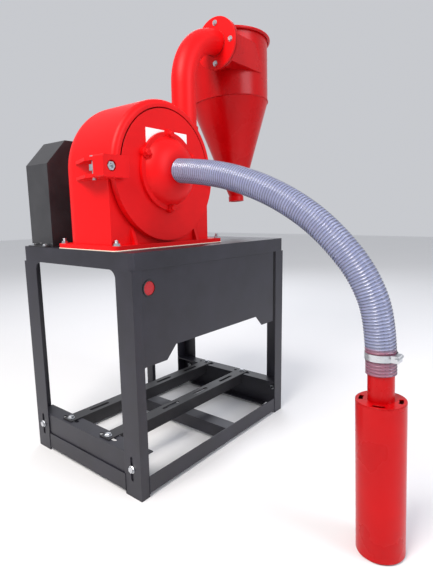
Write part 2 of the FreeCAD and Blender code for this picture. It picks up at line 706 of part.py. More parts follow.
node(group(*pin_group), "hammer_pins")
node(group(*spacer_group), "hammer_spacers")
# Hammers swing freely on their pins and hang down at rest, three plates to a pin.
for number, (x, z) in enumerate(pins, start=1):
    half = d.hammer_width / 2
    plates = []
    for step in (0, 1, 2):
        start = hammer_front + hammer_pitch * step
        span = (start, start + d.hammer_thick)
        eye = (shaft[0] + x, shaft[1] + z)
        blade = fuse(rod("Y", eye, span, half),
                     box((eye[0] - half, eye[0] + half), span, (eye[1] - d.hammer_reach, eye[1])))
        plates.append(cut(blade, rod("Y", eye, (start - 1, span[1] + 1),
                                     d.hammer_pin + d.running_gap)))
    node(group(*plates), f"hammer_row_{number}")

screen = new_body("screen")
screen_back = chamber_back - 0.3
turn(screen, [(d.casing_front + 1, d.screen_radius), (screen_back, d.screen_radius),
              (screen_back, d.screen_radius - d.screen_sheet),
              (d.casing_front + 1, d.screen_radius - d.screen_sheet)], "Y")
perforation = pocket(screen, "XY", [
    ("circle", 0, (d.casing_front + 1) * (1 - share) + screen_back * share, d.screen_hole)
    for share in (0.25, 0.5, 0.75)], d.screen_radius - 6, d.screen_radius + 2)
repeat(screen, perforation, "Y", 36)
place(screen, shaft[0], 0, shaft[1])

# The fan turns behind the partition and blows the meal up the outlet.
fan = new_body("fan")
fan_plate = fan_back - 8
turn(fan, [(fan_front + 5, d.shaft_radius), (fan_front + 5, d.hub_radius + 4),
           (fan_plate, d.hub_radius + 4), (fan_plate, d.fan_radius),
           (fan_plate + 4, d.fan_radius), (fan_plate + 4, d.shaft_radius)][::-1], "Y")
vane = pad(fan, "XZ", [rectangle((-d.fan_blade / 2, d.fan_blade / 2),
                                 (d.hub_radius, d.fan_radius))], fan_front + 6, fan_plate)
repeat(fan, vane, "Y", 6)
place(fan, shaft[0], 0, shaft[1])

pulley = new_body("drive_pulley")
rim, groove = d.pulley_radius, d.pulley_radius - 13
front, back = d.pulley_front, d.pulley_front + d.pulley_width
pulley_line = [(front, d.shaft_radius), (back, d.shaft_radius), (back, rim)]
for step in (2, 1, 0):
    middle = front + d.pulley_width / 6 + d.pulley_width / 3 * step
    pulley_line += [(middle + 6.5, rim), (middle + 3.5, groove), (middle - 3.5, groove),
                    (middle - 6.5, rim)]
pulley_line += [(front, rim)]
turn(pulley, pulley_line, "Y")
place(pulley, shaft[0], 0, shaft[1])

nuts = []
for span in ((d.shaft_front + 2, d.shaft_front + 13), (back + 0.2, back + 9)):
    nuts.append(cut(hexagon("Y", shaft, span, d.shaft_radius + 9),
                    rod("Y", shaft, (span[0] - 1, span[1] + 1),
                        d.shaft_radius + d.running_gap)))
node(group(*nuts), "shaft_nuts")

# ---------------------------------------------------------------- door
door_back = d.casing_front - d.door_gap
door_front = door_back - d.door_thick
block_low = d.shaft_height - d.block_height / 2
block_high = d.shaft_height + d.block_height / 2
skirt_top = hood_low - 3
door = new_body("door")
# The disc's rim widens to the front, so that its back edge clears the hood as it swings.
disc_face = pad(door, "XZ", [("circle", *shaft, d.door_radius - d.door_taper)],
                door_front, door_back)
disc_face.setExpression("TaperAngle", f"atan({d.door_taper.text} / {d.door_thick.text})")
pad(door, "XZ", [[
    (shaft[0] + d.door_skirt_radius, skirt_top),
    (shaft[0] - d.door_skirt_radius, skirt_top), (shaft[0] - d.door_skirt_radius, d.shaft_height),
    (shaft[0] + d.door_skirt_radius, d.shaft_height, d.door_skirt_radius)]],
    door_front, door_back)
hinge_block = (d.hinge_place - d.block_reach, shaft[0] - d.door_radius + 8)
latch_block = (shaft[0] + d.door_radius - 8, d.latch_place + d.block_reach)
for x in (hinge_block, latch_block):
    pad(door, "XZ", [rounded(x, (block_low, block_high), 6)], d.block_front, door_back)
pocket(door, "XZ", [("circle", d.hinge_place, d.shaft_height, d.eyebolt_radius + 0.2)],
       d.block_front, door_back)
pocket(door, "XZ", [("circle", d.hinge_place, d.shaft_height, d.bolt_head + 4)],
       d.block_front, d.block_front + 9)
pocket(door, "XZ", [rectangle((d.latch_place - 9, d.latch_place + d.block_reach),
                              (d.shaft_height - 9, d.shaft_height + 9))],
       d.block_front, door_back)
pocket(door, "XZ", [("circle", *shaft, d.door_inlet)], door_front, door_back)

node(cut(rod("Y", shaft, (door_back, d.casing_front - 0.3), d.chamber_radius + 4.5),
         rod("Y", shaft, (door_back - 1, d.casing_front), d.chamber_radius + 0.5)), "door_seal")

# The bell carries the hose in to the middle of the door on four lugs.
bell_back = door_front
bell_face = door_front - d.bell_flange_thick
spigot_end = d.bell_end - d.spigot_length
spigot = d.hose_bore - 0.2
bore = spigot - d.spigot_wall
bell = new_body("inlet_bell")
turn(bell, [
    (bell_back, d.door_inlet, -64), (bell_back, d.bell_flange), (bell_face, d.bell_flange),
    (bell_face, d.bell_radius), (d.bell_end, d.bell_shoulder, 58), (d.bell_end, spigot),
    (spigot_end, spigot), (spigot_end, bore), (d.bell_end + 5, bore),
    (d.bell_end + 5, d.bell_shoulder - 5)], "Y")
lug_angles = [90, 90 + DIMENSIONS["lug_spread"], 90 - DIMENSIONS["lug_spread"], 270]
lugs = [polar(d.lug_circle, angle) for angle in lug_angles]
pad(bell, "XZ", [("circle", *lugs[0], d.lug_radius), ("circle", *lugs[1], d.lug_radius),
                 ("circle", *lugs[2], d.lug_radius), ("circle", *lugs[3], d.lug_radius)],
    bell_face - 5, bell_back)
pocket(bell, "XZ", [("circle", x, z, bolt_hole) for x, z in lugs], bell_face - 6, bell_back)
place(bell, shaft[0], 0, shaft[1])
lug_bolts, lug_holes = [], []
for x, z in lugs:
    spot = (shaft[0] + x, shaft[1] + z)
    face = bell_face - 5
    lug_bolts.append(fuse(hexagon("Y", spot, (face - d.bolt_head_height, face), d.bolt_head),
                          rod("Y", spot, (face - 2, door_back - 4), d.bolt_radius)))
    lug_holes.append(("circle", *spot, bolt_hole))
node(group(*lug_bolts), "bell_bolts")
pocket(door, "XZ", lug_holes, door_front, door_back)

plate_low, plate_high = d.shaft_height + 60, d.shaft_height + 101
plate_span = (door_front - 2, door_front + 1)
node(cut(box((shaft[0] - 74, shaft[0] + 72), (door_front - 1, door_front), (plate_low, plate_high)),
         rod("Y", shaft, plate_span, d.bell_flange + 0.5),
         rod("Y", (shaft[0] + lugs[0][0], shaft[1] + lugs[0][1]), plate_span,
             d.lug_radius + 0.5)), "nameplate")

# Hinge: the eye bolt is nutted through the door's block and turns on the casing's pin.
ear_top = d.shaft_height + d.ear_gap / 2 + d.ear_thick
ear_foot = d.shaft_height - d.ear_gap / 2 - d.ear_thick


def headed_pin(x):
    spot = (x, d.pin_line)
    return fuse(rod("Z", spot, (ear_foot - 5, ear_top), d.pin_radius),
                rod("Z", spot, (ear_top, ear_top + 4), d.pin_radius + 3.5))


def eye_bolt(x, end):
    spot = (x, d.pin_line)
    level = (d.shaft_height - d.eye_height / 2, d.shaft_height + d.eye_height / 2)
    return cut(fuse(rod("Z", spot, level, d.eye_ring),
                    rod("Y", (x, d.shaft_height), (end, d.pin_line), d.eyebolt_radius)),
               rod("Z", spot, (level[0] - 1, level[1] + 1), d.pin_radius + d.running_gap))


node(group(headed_pin(d.hinge_place), headed_pin(d.latch_place)), "door_pins")
node(eye_bolt(d.hinge_place, d.eyebolt_end), "hinge_eye_bolt")
eye_nuts = []
for span in ((d.block_front + 2, d.block_front + 9), (door_back, door_back + 7)):
    spot = (d.hinge_place, d.shaft_height)
    eye_nuts.append(cut(hexagon("Y", spot, span, d.bolt_head + 2),
                        rod("Y", spot, (span[0] - 1, span[1] + 1),
                            d.eyebolt_radius + d.running_gap)))
node(group(*eye_nuts), "hinge_nuts")

# Latch: a swing bolt with a hand nut, stored swung out to the right of the door's slot.
closed_nut = d.pin_line - d.block_front
bolt_tip = d.latch_place + closed_nut + 30
level = (d.shaft_height - d.eye_height / 2, d.shaft_height + d.eye_height / 2)
swing = cut(fuse(rod("Z", (d.latch_place, d.pin_line), level, d.eye_ring),
                 rod("X", (d.pin_line, d.shaft_height), (d.latch_place, bolt_tip),
                     d.eyebolt_radius)),
            rod("Z", (d.latch_place, d.pin_line), (level[0] - 1, level[1] + 1),
                d.pin_radius + d.running_gap))
node(swing, "latch_swing_bolt")
nut_start = d.latch_place + closed_nut + d.nut_slack
hand = (d.pin_line, d.shaft_height)
node(cut(fuse(rod("X", hand, (nut_start, nut_start + 16), 13),
              box((nut_start + 3, nut_start + 11), (d.pin_line - 27, d.pin_line + 27),
                  (d.shaft_height - 6, d.shaft_height + 6))),
         rod("X", hand, (nut_start - 1, nut_start + 18), d.eyebolt_radius + d.running_gap)),
     "latch_hand_nut")

# ---------------------------------------------------------------- belt guard
guard = new_body("belt_guard")
sheet_thick = d.guard_sheet


def guard_outline(inset):
    left, right = d.guard_left + inset, d.guard_right - inset
    shoulder, top = d.guard_shoulder - inset * 0.4, d.guard_top - inset
    return [(left, deck_top), (right, deck_top), (right, shoulder),
            (right - d.guard_slope + inset * 0.6, top),
            (left + d.guard_slope - inset * 0.6, top), (left, shoulder)]


pad(guard, "XZ", [guard_outline(Size.of(0))], d.guard_front, d.guard_back)
pocket(guard, "XZ", [guard_outline(sheet_thick)], d.guard_front + sheet_thick,
       d.guard_back - sheet_thick)
pocket(guard, "XZ", [("circle", *shaft, 34)], d.guard_front, d.guard_front + sheet_thick)
foot = 3
pad(guard, "XY", [rectangle((d.guard_left - d.guard_foot, d.guard_left + sheet_thick),
                            (d.guard_front + 10, d.guard_back - 10)),
                  rectangle((d.guard_right - sheet_thick, d.guard_right + d.guard_foot),
                            (d.guard_front + 10, d.guard_back - 10))], deck_top, deck_top + foot)
guard_bolts = []
for x in (d.guard_left - d.guard_foot / 2, d.guard_right + d.guard_foot / 2):
    for y in (d.guard_front + 24, d.guard_back - 24):
        guard_bolts.append(hexagon("Z", (x, y), (deck_top + foot, deck_top + foot + 5.5), d.m8_head))
node(group(*guard_bolts), "guard_bolts")

# ---------------------------------------------------------------- discharge pipe
bend_top = d.outlet_height - d.bend_radius
flange_back = d.pipe_place + d.bend_radius
flange_front = flange_back - d.flange_thick


def bent_tube(radius, low, high):
    """The pipe's solid of one radius: upright, a quarter bend, then level to the right."""
    bend = doc.addObject("Part::Torus", "Bend")
    bind(bend, "Radius1", d.bend_radius)
    bind(bend, "Radius2", radius)
    bend.Angle3 = 90
    bend.Placement.Rotation = FreeCAD.Rotation(
        FreeCAD.Vector(-1, 0, 0), FreeCAD.Vector(0, 0, 1), FreeCAD.Vector(0, 1, 0), "XYZ")
    for letter, value in zip("xyz", (flange_back, d.pipe_line, bend_top)):
        bind(bend, f"Placement.Base.{letter}", value)
    return fuse(rod("Z", (d.pipe_place, d.pipe_line), (low, bend_top), radius), bend,
                rod("X", (d.pipe_line, d.outlet_height), (flange_back, high), radius))


pipe_bore = d.pipe_radius - d.pipe_wall
flange_spot = (d.pipe_line, d.outlet_height)
flange_holes = [polar(d.bolt_circle, angle) for angle in (0, 90, 180, 270)]
flange_spots = [(d.pipe_line + y, d.outlet_height + z) for y, z in flange_holes]
pipe_end = flange_back + d.flange_thick
elbow = cut(
    fuse(bent_tube(d.pipe_radius, d.pipe_foot, pipe_end),
         rod("X", flange_spot, (flange_back, pipe_end), d.flange_radius)),
    bent_tube(pipe_bore, d.pipe_foot - 1, pipe_end + 1),
    *[rod("X", spot, (flange_back - 1, pipe_end + 1), d.m8_radius + 0.4)
      for spot in flange_spots])
node(elbow, "discharge_elbow")
gasket_end = pipe_end + d.gasket_thick
gasket = cut(rod("X", flange_spot, (pipe_end, gasket_end), d.flange_radius - 1),
             rod("X", flange_spot, (pipe_end - 1, gasket_end + 1), d.pipe_radius + 12),
             *[rod("X", spot, (pipe_end - 1, gasket_end + 1), d.m8_radius + 0.4)
               for spot in flange_spots])
node(gasket, "flange_gasket")
mate_end = gasket_end + d.flange_thick * 0.75
node(group(*[hex_bolt("X", spot, flange_back, mate_end, d.m8_radius, d.m8_head,
                      d.m8_head_height) for spot in flange_spots]), "flange_bolts")

# ---------------------------------------------------------------- cyclone
# Each cyclone piece is built upright and tipped about the inlet flange's axis.
tilt_centre = FreeCAD.Vector(0, DIMENSIONS["pipe_line"], DIMENSIONS["outlet_height"])


def tipped(thing, label):
    """Turns a finished piece about the flange axis by the cyclone's tilt."""
    holder = doc.addObject("Part::Compound", "Tipped")
    holder.Links = [thing]
    for letter, size in zip("xyz", (1, 0, 0)):
        bind(holder, f"Placement.Rotation.Axis.{letter}", size)
    bind(holder, "Placement.Rotation.Angle", -d.cyclone_tilt)
    y, z, angle = d.pipe_line.text, d.outlet_height.text, f"(-1 * {d.cyclone_tilt.text})"
    holder.setExpression("Placement.Base.y", f"{y} - ({y} * cos({angle}) - {z} * sin({angle}))")
    holder.setExpression("Placement.Base.z", f"{z} - ({y} * sin({angle}) + {z} * cos({angle}))")
    return node(holder, label)


axis = (d.cyclone_place, d.cyclone_line)
wall = d.cyclone_wall
duct_y = (d.pipe_line - d.duct_width / 2, d.pipe_line + d.duct_width / 2)
duct_z = (d.outlet_height - d.duct_height / 2, d.outlet_height + d.duct_height / 2)
duct_room_y = (duct_y[0] + wall, duct_y[1] - wall)
duct_room_z = (duct_z[0] + wall, duct_z[1] - wall)
body_outside = fuse(
    rod("Z", axis, (d.cyclone_waist, d.cyclone_top), d.cyclone_waist_radius,
        d.cyclone_top_radius),
    rod("Z", axis, (d.cyclone_foot, d.cyclone_waist), d.cyclone_outlet, d.cyclone_waist_radius),
    box((gasket_end + 1, d.cyclone_place), duct_y, duct_z),
    rod("X", flange_spot, (gasket_end, mate_end), d.flange_radius))
body_inside = fuse(
    rod("Z", axis, (d.cyclone_waist, d.cyclone_top + 1), d.cyclone_waist_radius - wall,
        d.cyclone_top_radius - wall),
    rod("Z", axis, (d.cyclone_foot - 1, d.cyclone_waist), d.cyclone_outlet - wall,
        d.cyclone_waist_radius - wall),
    box((gasket_end - 1, d.cyclone_place), duct_room_y, duct_room_z))
# Its flange holes are turned ahead by the tilt, so that tipping brings them to the bolts.
mate_holes = [polar(d.bolt_circle, angle + DIMENSIONS["cyclone_tilt"])
              for angle in (0, 90, 180, 270)]
tipped(cut(body_outside, body_inside,
           *[rod("X", (d.pipe_line + y, d.outlet_height + z), (gasket_end - 1, mate_end + 1),
                 d.m8_radius + 0.4) for y, z in mate_holes]), "cyclone_body")
bead = doc.addObject("Part::Torus", "Bead")
bind(bead, "Radius1", d.cyclone_top_radius + d.rim_bead)
bind(bead, "Radius2", d.rim_bead)
place(bead, *axis, d.cyclone_top - d.rim_bead)
tipped(bead, "cyclone_rim")
collar_low = d.cyclone_foot - d.collar_length / 2
tipped(cut(rod("Z", axis, (collar_low, d.cyclone_foot), d.cyclone_outlet + 3),
           rod("Z", axis, (collar_low - 1, d.cyclone_foot + 1), d.cyclone_outlet - wall)),
       "cyclone_outlet")

# ---------------------------------------------------------------- hose and nozzle
def route_wire(points):
    """Straight runs joined by tangent arcs as large as the runs beside them allow."""
    points = [FreeCAD.Vector(*p) for p in points]
    edges, here = [], points[0]
    for before, corner, after in zip(points, points[1:], points[2:]):
        arriving, leaving = corner - before, after - corner
        half_turn = arriving.getAngle(leaving) / 2
        reach = 0.45 * min(arriving.Length, leaving.Length)
        arriving.normalize()
        leaving.normalize()
        start, end = corner - arriving * reach, corner + leaving * reach
        radius = reach / math.tan(half_turn)
        print(f"hose arc radius {radius:.0f} mm")
        inward = (leaving - arriving).normalize()
        middle = corner + inward * (radius / math.cos(half_turn) - radius)
        edges.append(Part.LineSegment(here, start).toShape())
        edges.append(Part.Arc(start, middle, end).toShape())
        here = end
    edges.append(Part.LineSegment(here, points[-1]).toShape())
    return Part.Wire(edges)


wire = route_wire(HOSE_ROUTE)
start, heading = wire.Vertexes[0].Point, wire.Edges[0].tangentAt(wire.Edges[0].FirstParameter)
tubes = []
for radius in (d.hose_radius.value, d.hose_bore.value):
    ring = Part.Wire([Part.makeCircle(radius, start, heading)])
    tubes.append(wire.makePipeShell([ring], True, False))
hose_shape = tubes[0].cut(tubes[1])
section = math.pi * (d.hose_radius.value ** 2 - d.hose_bore.value ** 2)
print(f"hose length {wire.Length:.0f} mm, volume over section times length "
      f"{hose_shape.Volume / section / wire.Length:.4f}")
hose = node(doc.addObject("Part::Feature", "Hose"), "suction_hose")
hose.Shape = hose_shape

# The nozzle is built upright on its own axis and leans with the hose's last run.
hose_foot = FreeCAD.Vector(*HOSE_ROUTE[-1])
lean = math.radians(DIMENSIONS["nozzle_tilt"])
insert_top = hose_foot + FreeCAD.Vector(0, math.sin(lean), math.cos(lean)) * DIMENSIONS["neck_insert"]
lift = DIMENSIONS["nozzle_radius"] * math.sin(lean)
neck_length = (insert_top.z - lift) / math.cos(lean)
foot_y = insert_top.y - neck_length * math.sin(lean)
centre = (0, 0)


def leaning(thing, label):
    """Stands a piece of the nozzle on the floor under the hose, leaning to the mill."""
    holder = doc.addObject("Part::Compound", "Leaning")
    holder.Links = [thing]
    for letter, size in zip("xyz", (1, 0, 0)):
        bind(holder, f"Placement.Rotation.Axis.{letter}", size)
    bind(holder, "Placement.Rotation.Angle", -d.nozzle_tilt)
    bind(holder, "Placement.Base.x", hose_foot.x)
    bind(holder, "Placement.Base.y", foot_y)
    holder.setExpression("Placement.Base.z",
                         f"{d.nozzle_radius.text} * sin({d.nozzle_tilt.text})")
    return node(holder, label)


neck = rod("Z", centre, (30, neck_length), d.neck_radius)
neck_room = rod("Z", centre, (29, neck_length + 1), d.neck_radius - d.neck_wall)
leaning(cut(neck, neck_room), "nozzle_neck")
cap_low = d.nozzle_length - 2
sleeve_bore = d.nozzle_radius - d.nozzle_sheet
leaning(cut(rod("Z", centre, (0, cap_low), d.nozzle_radius),
            rod("Z", centre, (-1, cap_low + 1), sleeve_bore)), "nozzle_sleeve")
cap_slots = []
slot_ring = (d.nozzle_radius + d.neck_radius) / 2
for angle in (40, 160, 280):
    x, y = polar(slot_ring, angle)
    cap_slots.append(rod("Z", (x, y), (cap_low - 1, d.nozzle_length + 1), 8))
leaning(cut(rod("Z", centre, (cap_low, d.nozzle_length), d.nozzle_radius),
            rod("Z", centre, (cap_low - 1, d.nozzle_length + 1), d.neck_radius), *cap_slots),
        "nozzle_cap")
clamp_middle = neck_length - d.neck_insert + d.clamp_place
clamp_span = (clamp_middle - d.clamp_width / 2, clamp_middle + d.clamp_width / 2)
band = d.hose_radius + d.hose_gap
clamp = cut(
    fuse(rod("Z", centre, clamp_span, band + d.clamp_sheet),
         box((-20, 4), (-band - 9, -band + 6), clamp_span),
         rod("X", (-band - 6, clamp_middle), (-28, 10), 4)),
    rod("Z", centre, (clamp_span[0] - 1, clamp_span[1] + 1), band))
leaning(clamp, "hose_clamp")

# ---------------------------------------------------------------- checks and export
doc.recompute()
faults = [o.Label for o in doc.Objects if {"Invalid", "Error"} & set(o.State)]
for piece in nodes:
    if piece.Shape.isNull() or not piece.Shape.isValid() or not piece.Shape.Solids:
        faults.append(piece.Label)
if faults:
    raise RuntimeError(f"these objects failed: {faults}")
os.makedirs("parts", exist_ok=True)
for piece in nodes:
    piece.Shape.exportStep(f"parts/{piece.Label}.step")
print(f"wrote {len(nodes)} sub-parts")
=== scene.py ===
from math import atan2, cos, hypot, pi, radians, sin, tau

import bmesh
import bpy
from mathutils import Matrix, Vector
from mathutils.geometry import delaunay_2d_cdt


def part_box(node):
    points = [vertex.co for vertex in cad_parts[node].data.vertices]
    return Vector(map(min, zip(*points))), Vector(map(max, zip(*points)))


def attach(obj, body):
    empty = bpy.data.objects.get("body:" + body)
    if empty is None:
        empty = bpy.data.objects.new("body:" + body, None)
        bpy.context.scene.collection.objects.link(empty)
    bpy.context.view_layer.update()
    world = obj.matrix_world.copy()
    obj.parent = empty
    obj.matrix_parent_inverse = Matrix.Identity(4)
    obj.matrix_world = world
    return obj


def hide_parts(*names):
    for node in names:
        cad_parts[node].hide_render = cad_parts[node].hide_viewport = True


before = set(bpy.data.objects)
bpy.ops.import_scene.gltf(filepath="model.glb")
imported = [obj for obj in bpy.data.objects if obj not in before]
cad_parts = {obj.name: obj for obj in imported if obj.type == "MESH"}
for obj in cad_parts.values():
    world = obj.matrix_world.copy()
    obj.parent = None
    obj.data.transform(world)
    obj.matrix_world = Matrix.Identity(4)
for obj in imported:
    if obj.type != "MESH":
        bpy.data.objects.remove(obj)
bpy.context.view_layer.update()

MM = 0.001

# ------------------------------------------------------------------ camera, floor and light
# The mill stands on a pale studio floor. It is seen from in front of its left corner, from
# just above the deck, under one large soft light and the glow of a white room.
CAMERA_PLACE = (-0.9918, -1.0079, 0.7065)
CAMERA_YAW, CAMERA_PITCH, CAMERA_ROLL = radians(51.25), radians(9.66), radians(-0.79)
camera = bpy.data.objects.new("camera", bpy.data.cameras.new("camera"))
camera.data.lens = 27.56
camera.data.sensor_width = 36
ahead = Vector((sin(CAMERA_YAW) * cos(CAMERA_PITCH), cos(CAMERA_YAW) * cos(CAMERA_PITCH),
                -sin(CAMERA_PITCH)))
level = Vector((cos(CAMERA_YAW), -sin(CAMERA_YAW), 0))
upright = level.cross(ahead)
across = level * cos(CAMERA_ROLL) + upright * sin(CAMERA_ROLL)
above = upright * cos(CAMERA_ROLL) - level * sin(CAMERA_ROLL)
camera.matrix_world = Matrix.Translation(CAMERA_PLACE) @ Matrix(
    (across, above, -ahead)).transposed().to_4x4()
bpy.context.scene.collection.objects.link(camera)
bpy.context.scene.camera = camera


def linear(code):
    """A screen colour, as hex, in the linear values that the shaders take."""
    shares = [int(code[i:i + 2], 16) / 255 for i in (0, 2, 4)]
    return (*[s / 12.92 if s <= 0.04045 else ((s + 0.055) / 1.055) ** 2.4 for s in shares], 1)


def add(material, kind, settings=(), **links):
    """One shader node: settings fill its properties and sockets, links feed its sockets."""
    made = material.node_tree.nodes.new(kind)
    for key, value in dict(settings).items():
        if isinstance(key, str) and hasattr(made, key):
            setattr(made, key, value)
        else:
            made.inputs[key].default_value = value
    for key, source in links.items():
        socket = made.inputs[key.replace("_", " ")]
        material.node_tree.links.new(source, socket)
    return made


def new_material(name):
    """A material and its principled shader."""
    material = bpy.data.materials.new(name)
    material.use_nodes = True
    return material, material.node_tree.nodes["Principled BSDF"]


def feed(material, source, node, socket):
    """One link, from a node's output to another node's named socket."""
    material.node_tree.links.new(source, node.inputs[socket])


# Painted concrete: pale and even, with a faint cloudiness.
floor_paint, shader = new_material("floor_paint")
spot = add(floor_paint, "ShaderNodeTexCoord").outputs["Object"]
cloud = add(floor_paint, "ShaderNodeTexNoise", {"Scale": 1.6, "Detail": 3}, Vector=spot)
tone = add(floor_paint, "ShaderNodeMapRange", {"To Min": 0.97, "To Max": 1.0},
           Value=cloud.outputs["Fac"])
tint = add(floor_paint, "ShaderNodeVectorMath", {"operation": "SCALE", 0: (0.83, 0.83, 0.835)},
           Scale=tone.outputs["Result"])
feed(floor_paint, tint.outputs["Vector"], shader, "Base Color")
shader.inputs["Roughness"].default_value = 0.85
FLOOR_REACH = 12
floor_mesh = bpy.data.meshes.new("studio_floor")
floor_mesh.from_pydata([(-FLOOR_REACH, -FLOOR_REACH, 0), (FLOOR_REACH, -FLOOR_REACH, 0),
                        (FLOOR_REACH, FLOOR_REACH, 0), (-FLOOR_REACH, FLOOR_REACH, 0)],
                       [], [(0, 1, 2, 3)])
floor = bpy.data.objects.new("studio_floor", floor_mesh)
floor_mesh.materials.append(floor_paint)
bpy.context.scene.collection.objects.link(floor)

for name, place, aim, size, power, colour in (
        ("key_light", (-1.9, -0.3, 2.7), (0, 0, 0.75), 1.3, 90, "FFF9F3"),
        ("front_light", (0.3, -3.4, 2.2), (0, 0, 0.5), 1.8, 58, "F2F5FF"),
        ("rim_light", (2.4, 1.8, 2.6), (0.2, 0, 0.9), 1.8, 34, "F4F7FF")):
    lamp = bpy.data.lights.new(name, "AREA")
    lamp.size = size
    lamp.energy = power
    lamp.color = linear(colour)[:3]
    holder = bpy.data.objects.new(name, lamp)
    holder.location = place
    holder.rotation_euler = (Vector(aim) - Vector(place)).to_track_quat("-Z", "Y").to_euler()
    bpy.context.scene.collection.objects.link(holder)
room = bpy.data.worlds.new("white_room")
room.use_nodes = True
room.node_tree.nodes["Background"].inputs["Color"].default_value = (0.93, 0.95, 1.0, 1)
room.node_tree.nodes["Background"].inputs["Strength"].default_value = 0.62
bpy.context.scene.world = room
bpy.context.scene.view_settings.view_transform = "Standard"


def mesh_object(name, points, faces, material, sharp=35):
    """A piece's object from corners and faces; edges sharper than the angle stay sharp."""
    mesh = bpy.data.meshes.new(name)
    mesh.from_pydata([tuple(p) for p in points], [], faces)
    return finish_mesh(mesh, name, material, sharp)


def finish_mesh(mesh, name, material, sharp=35):
    """A piece's object from a mesh: corners joined, faces turned out and shaded smooth."""
    shell = bmesh.new()
    shell.from_mesh(mesh)
    bmesh.ops.remove_doubles(shell, verts=shell.verts, dist=1e-6)
    bmesh.ops.recalc_face_normals(shell, faces=shell.faces)
    shell.to_mesh(mesh)
    shell.free()
    mesh.polygons.foreach_set("use_smooth", [True] * len(mesh.polygons))
    mesh.set_sharp_from_angle(angle=radians(sharp))
    if material:
        mesh.materials.clear()
        mesh.materials.append(material)
    made = bpy.data.objects.new(name, mesh)
    bpy.context.scene.collection.objects.link(made)
    return made


# ------------------------------------------------------------------ suction hose
# A two-inch suction hose of clear, bluish PVC with a steel wire coiled in its wall. The wall
# bulges over each turn of the wire. It is pushed over the bell's spigot and the nozzle's neck.
HOSE_ROUTE_MM = [
    (-148, -216.3, 814), (-148, -301, 806), (-147, -393, 786), (-145, -485, 753),
    (-142, -570, 706), (-139, -634, 653), (-134, -694.5, 582), (-130, -731, 492),
    (-130, -735.5, 388),
]
HOSE_CREST, HOSE_GROOVE, HOSE_WALL = 30.5 * MM, 29.0 * MM, 1.6 * MM
WIRE_PITCH, WIRE_RADIUS = 6.4 * MM, 0.8 * MM
RIB_STEPS, WIRE_STEPS = 6, 20
NECK_INSERT, NECK_SHOW_THROUGH_FADE, HAZE_PATCH, WIRE_STREAK = 55 * MM, 6 * MM, 45 * MM, 3 * MM

route = bpy.data.curves.new("hose_route", "CURVE")
route.dimensions = "3D"
spline = route.splines.new("NURBS")
spline.points.add(len(HOSE_ROUTE_MM) - 1)
for point, (x, y, z) in zip(spline.points, HOSE_ROUTE_MM):
    point.co = (x * MM, y * MM, z * MM, 1)
spline.order_u = 3
spline.use_endpoint_u = True
spline.resolution_u = 24
route_object = bpy.data.objects.new("hose_route", route)
bpy.context.scene.collection.objects.link(route_object)
bpy.context.view_layer.update()
route_mesh = bpy.data.meshes.new_from_object(route_object)


def socket_of(tree, name):
    """The identifier of a tree's input, which a modifier's value is set by."""
    return next(s.identifier for s in tree.interface.items_tree if s.name == name)


def new_tree(name, **inputs):
    """A geometry tree with one geometry in and out and its sizes as named inputs."""
    tree = bpy.data.node_groups.new(name, "GeometryNodeTree")
    tree.interface.new_socket("Geometry", in_out="INPUT", socket_type="NodeSocketGeometry")
    tree.interface.new_socket("Geometry", in_out="OUTPUT", socket_type="NodeSocketGeometry")
    for label, value in inputs.items():
        kind = "NodeSocketInt" if isinstance(value, int) else "NodeSocketFloat"
        if isinstance(value, bpy.types.Material):
            kind = "NodeSocketMaterial"
        made = tree.interface.new_socket(label, in_out="INPUT", socket_type=kind)
        if kind != "NodeSocketMaterial":
            made.default_value = value
    return tree, tree.nodes.new("NodeGroupInput"), tree.nodes.new("NodeGroupOutput")


def grow(tree, kind, settings=(), **links):
    """One geometry node, set and linked in the same way as a shader node."""
    made = tree.nodes.new(kind)
    for key, value in dict(settings).items():
        if isinstance(key, str) and hasattr(made, key):
            setattr(made, key, value)
        else:
            made.inputs[key].default_value = value
    for key, source in links.items():
        name = key.replace("_", " ")
        socket = made.inputs[int(name[1:]) if name[0] == "i" and name[1:].isdigit() else name]
        tree.links.new(source, socket)
    return made


def grown_mesh(tree, start, name, **values):
    """The plain mesh that a tree makes from an object, with the modifier gone again."""
    modifier = start.modifiers.new(name, "NODES")
    modifier.node_group = tree
    for label, value in values.items():
        modifier[socket_of(tree, label)] = value
    bpy.context.view_layer.update()
    ready = start.evaluated_get(bpy.context.evaluated_depsgraph_get())
    mesh = bpy.data.meshes.new_from_object(ready)
    start.modifiers.remove(modifier)
    mesh.name = name
    return mesh


# Plasticised PVC: clear, faintly violet and glossy, with a milky body where it is thick.
hose_pvc, shader = new_material("clear_pvc")
spot = add(hose_pvc, "ShaderNodeTexCoord").outputs["Object"]
haze = add(hose_pvc, "ShaderNodeTexNoise", {"Scale": 1 / HAZE_PATCH, "Detail": 2}, Vector=spot)
tone = add(hose_pvc, "ShaderNodeMix", {"data_type": "RGBA", 6: linear("B4BBE2"),
                                       7: linear("D2DAFA")}, Factor=haze.outputs["Fac"])
# Painted see-through: the wall's colour is tinted red over the lower end, standing in for the red
# neck inside seen through the wall, up to where the neck stops.
height = add(hose_pvc, "ShaderNodeSeparateXYZ", Vector=spot)
neck_show_through_mask = add(hose_pvc, "ShaderNodeMapRange", {
    "From Min": HOSE_ROUTE_MM[-1][2] * MM + NECK_INSERT - NECK_SHOW_THROUGH_FADE,
    "From Max": HOSE_ROUTE_MM[-1][2] * MM + NECK_INSERT, "To Min": 0.62, "To Max": 0.0},
    Value=height.outputs["Z"])
painted_neck_show_through = add(hose_pvc, "ShaderNodeMix", {"data_type": "RGBA", 7: linear("C4304C")},
            Factor=neck_show_through_mask.outputs["Result"])
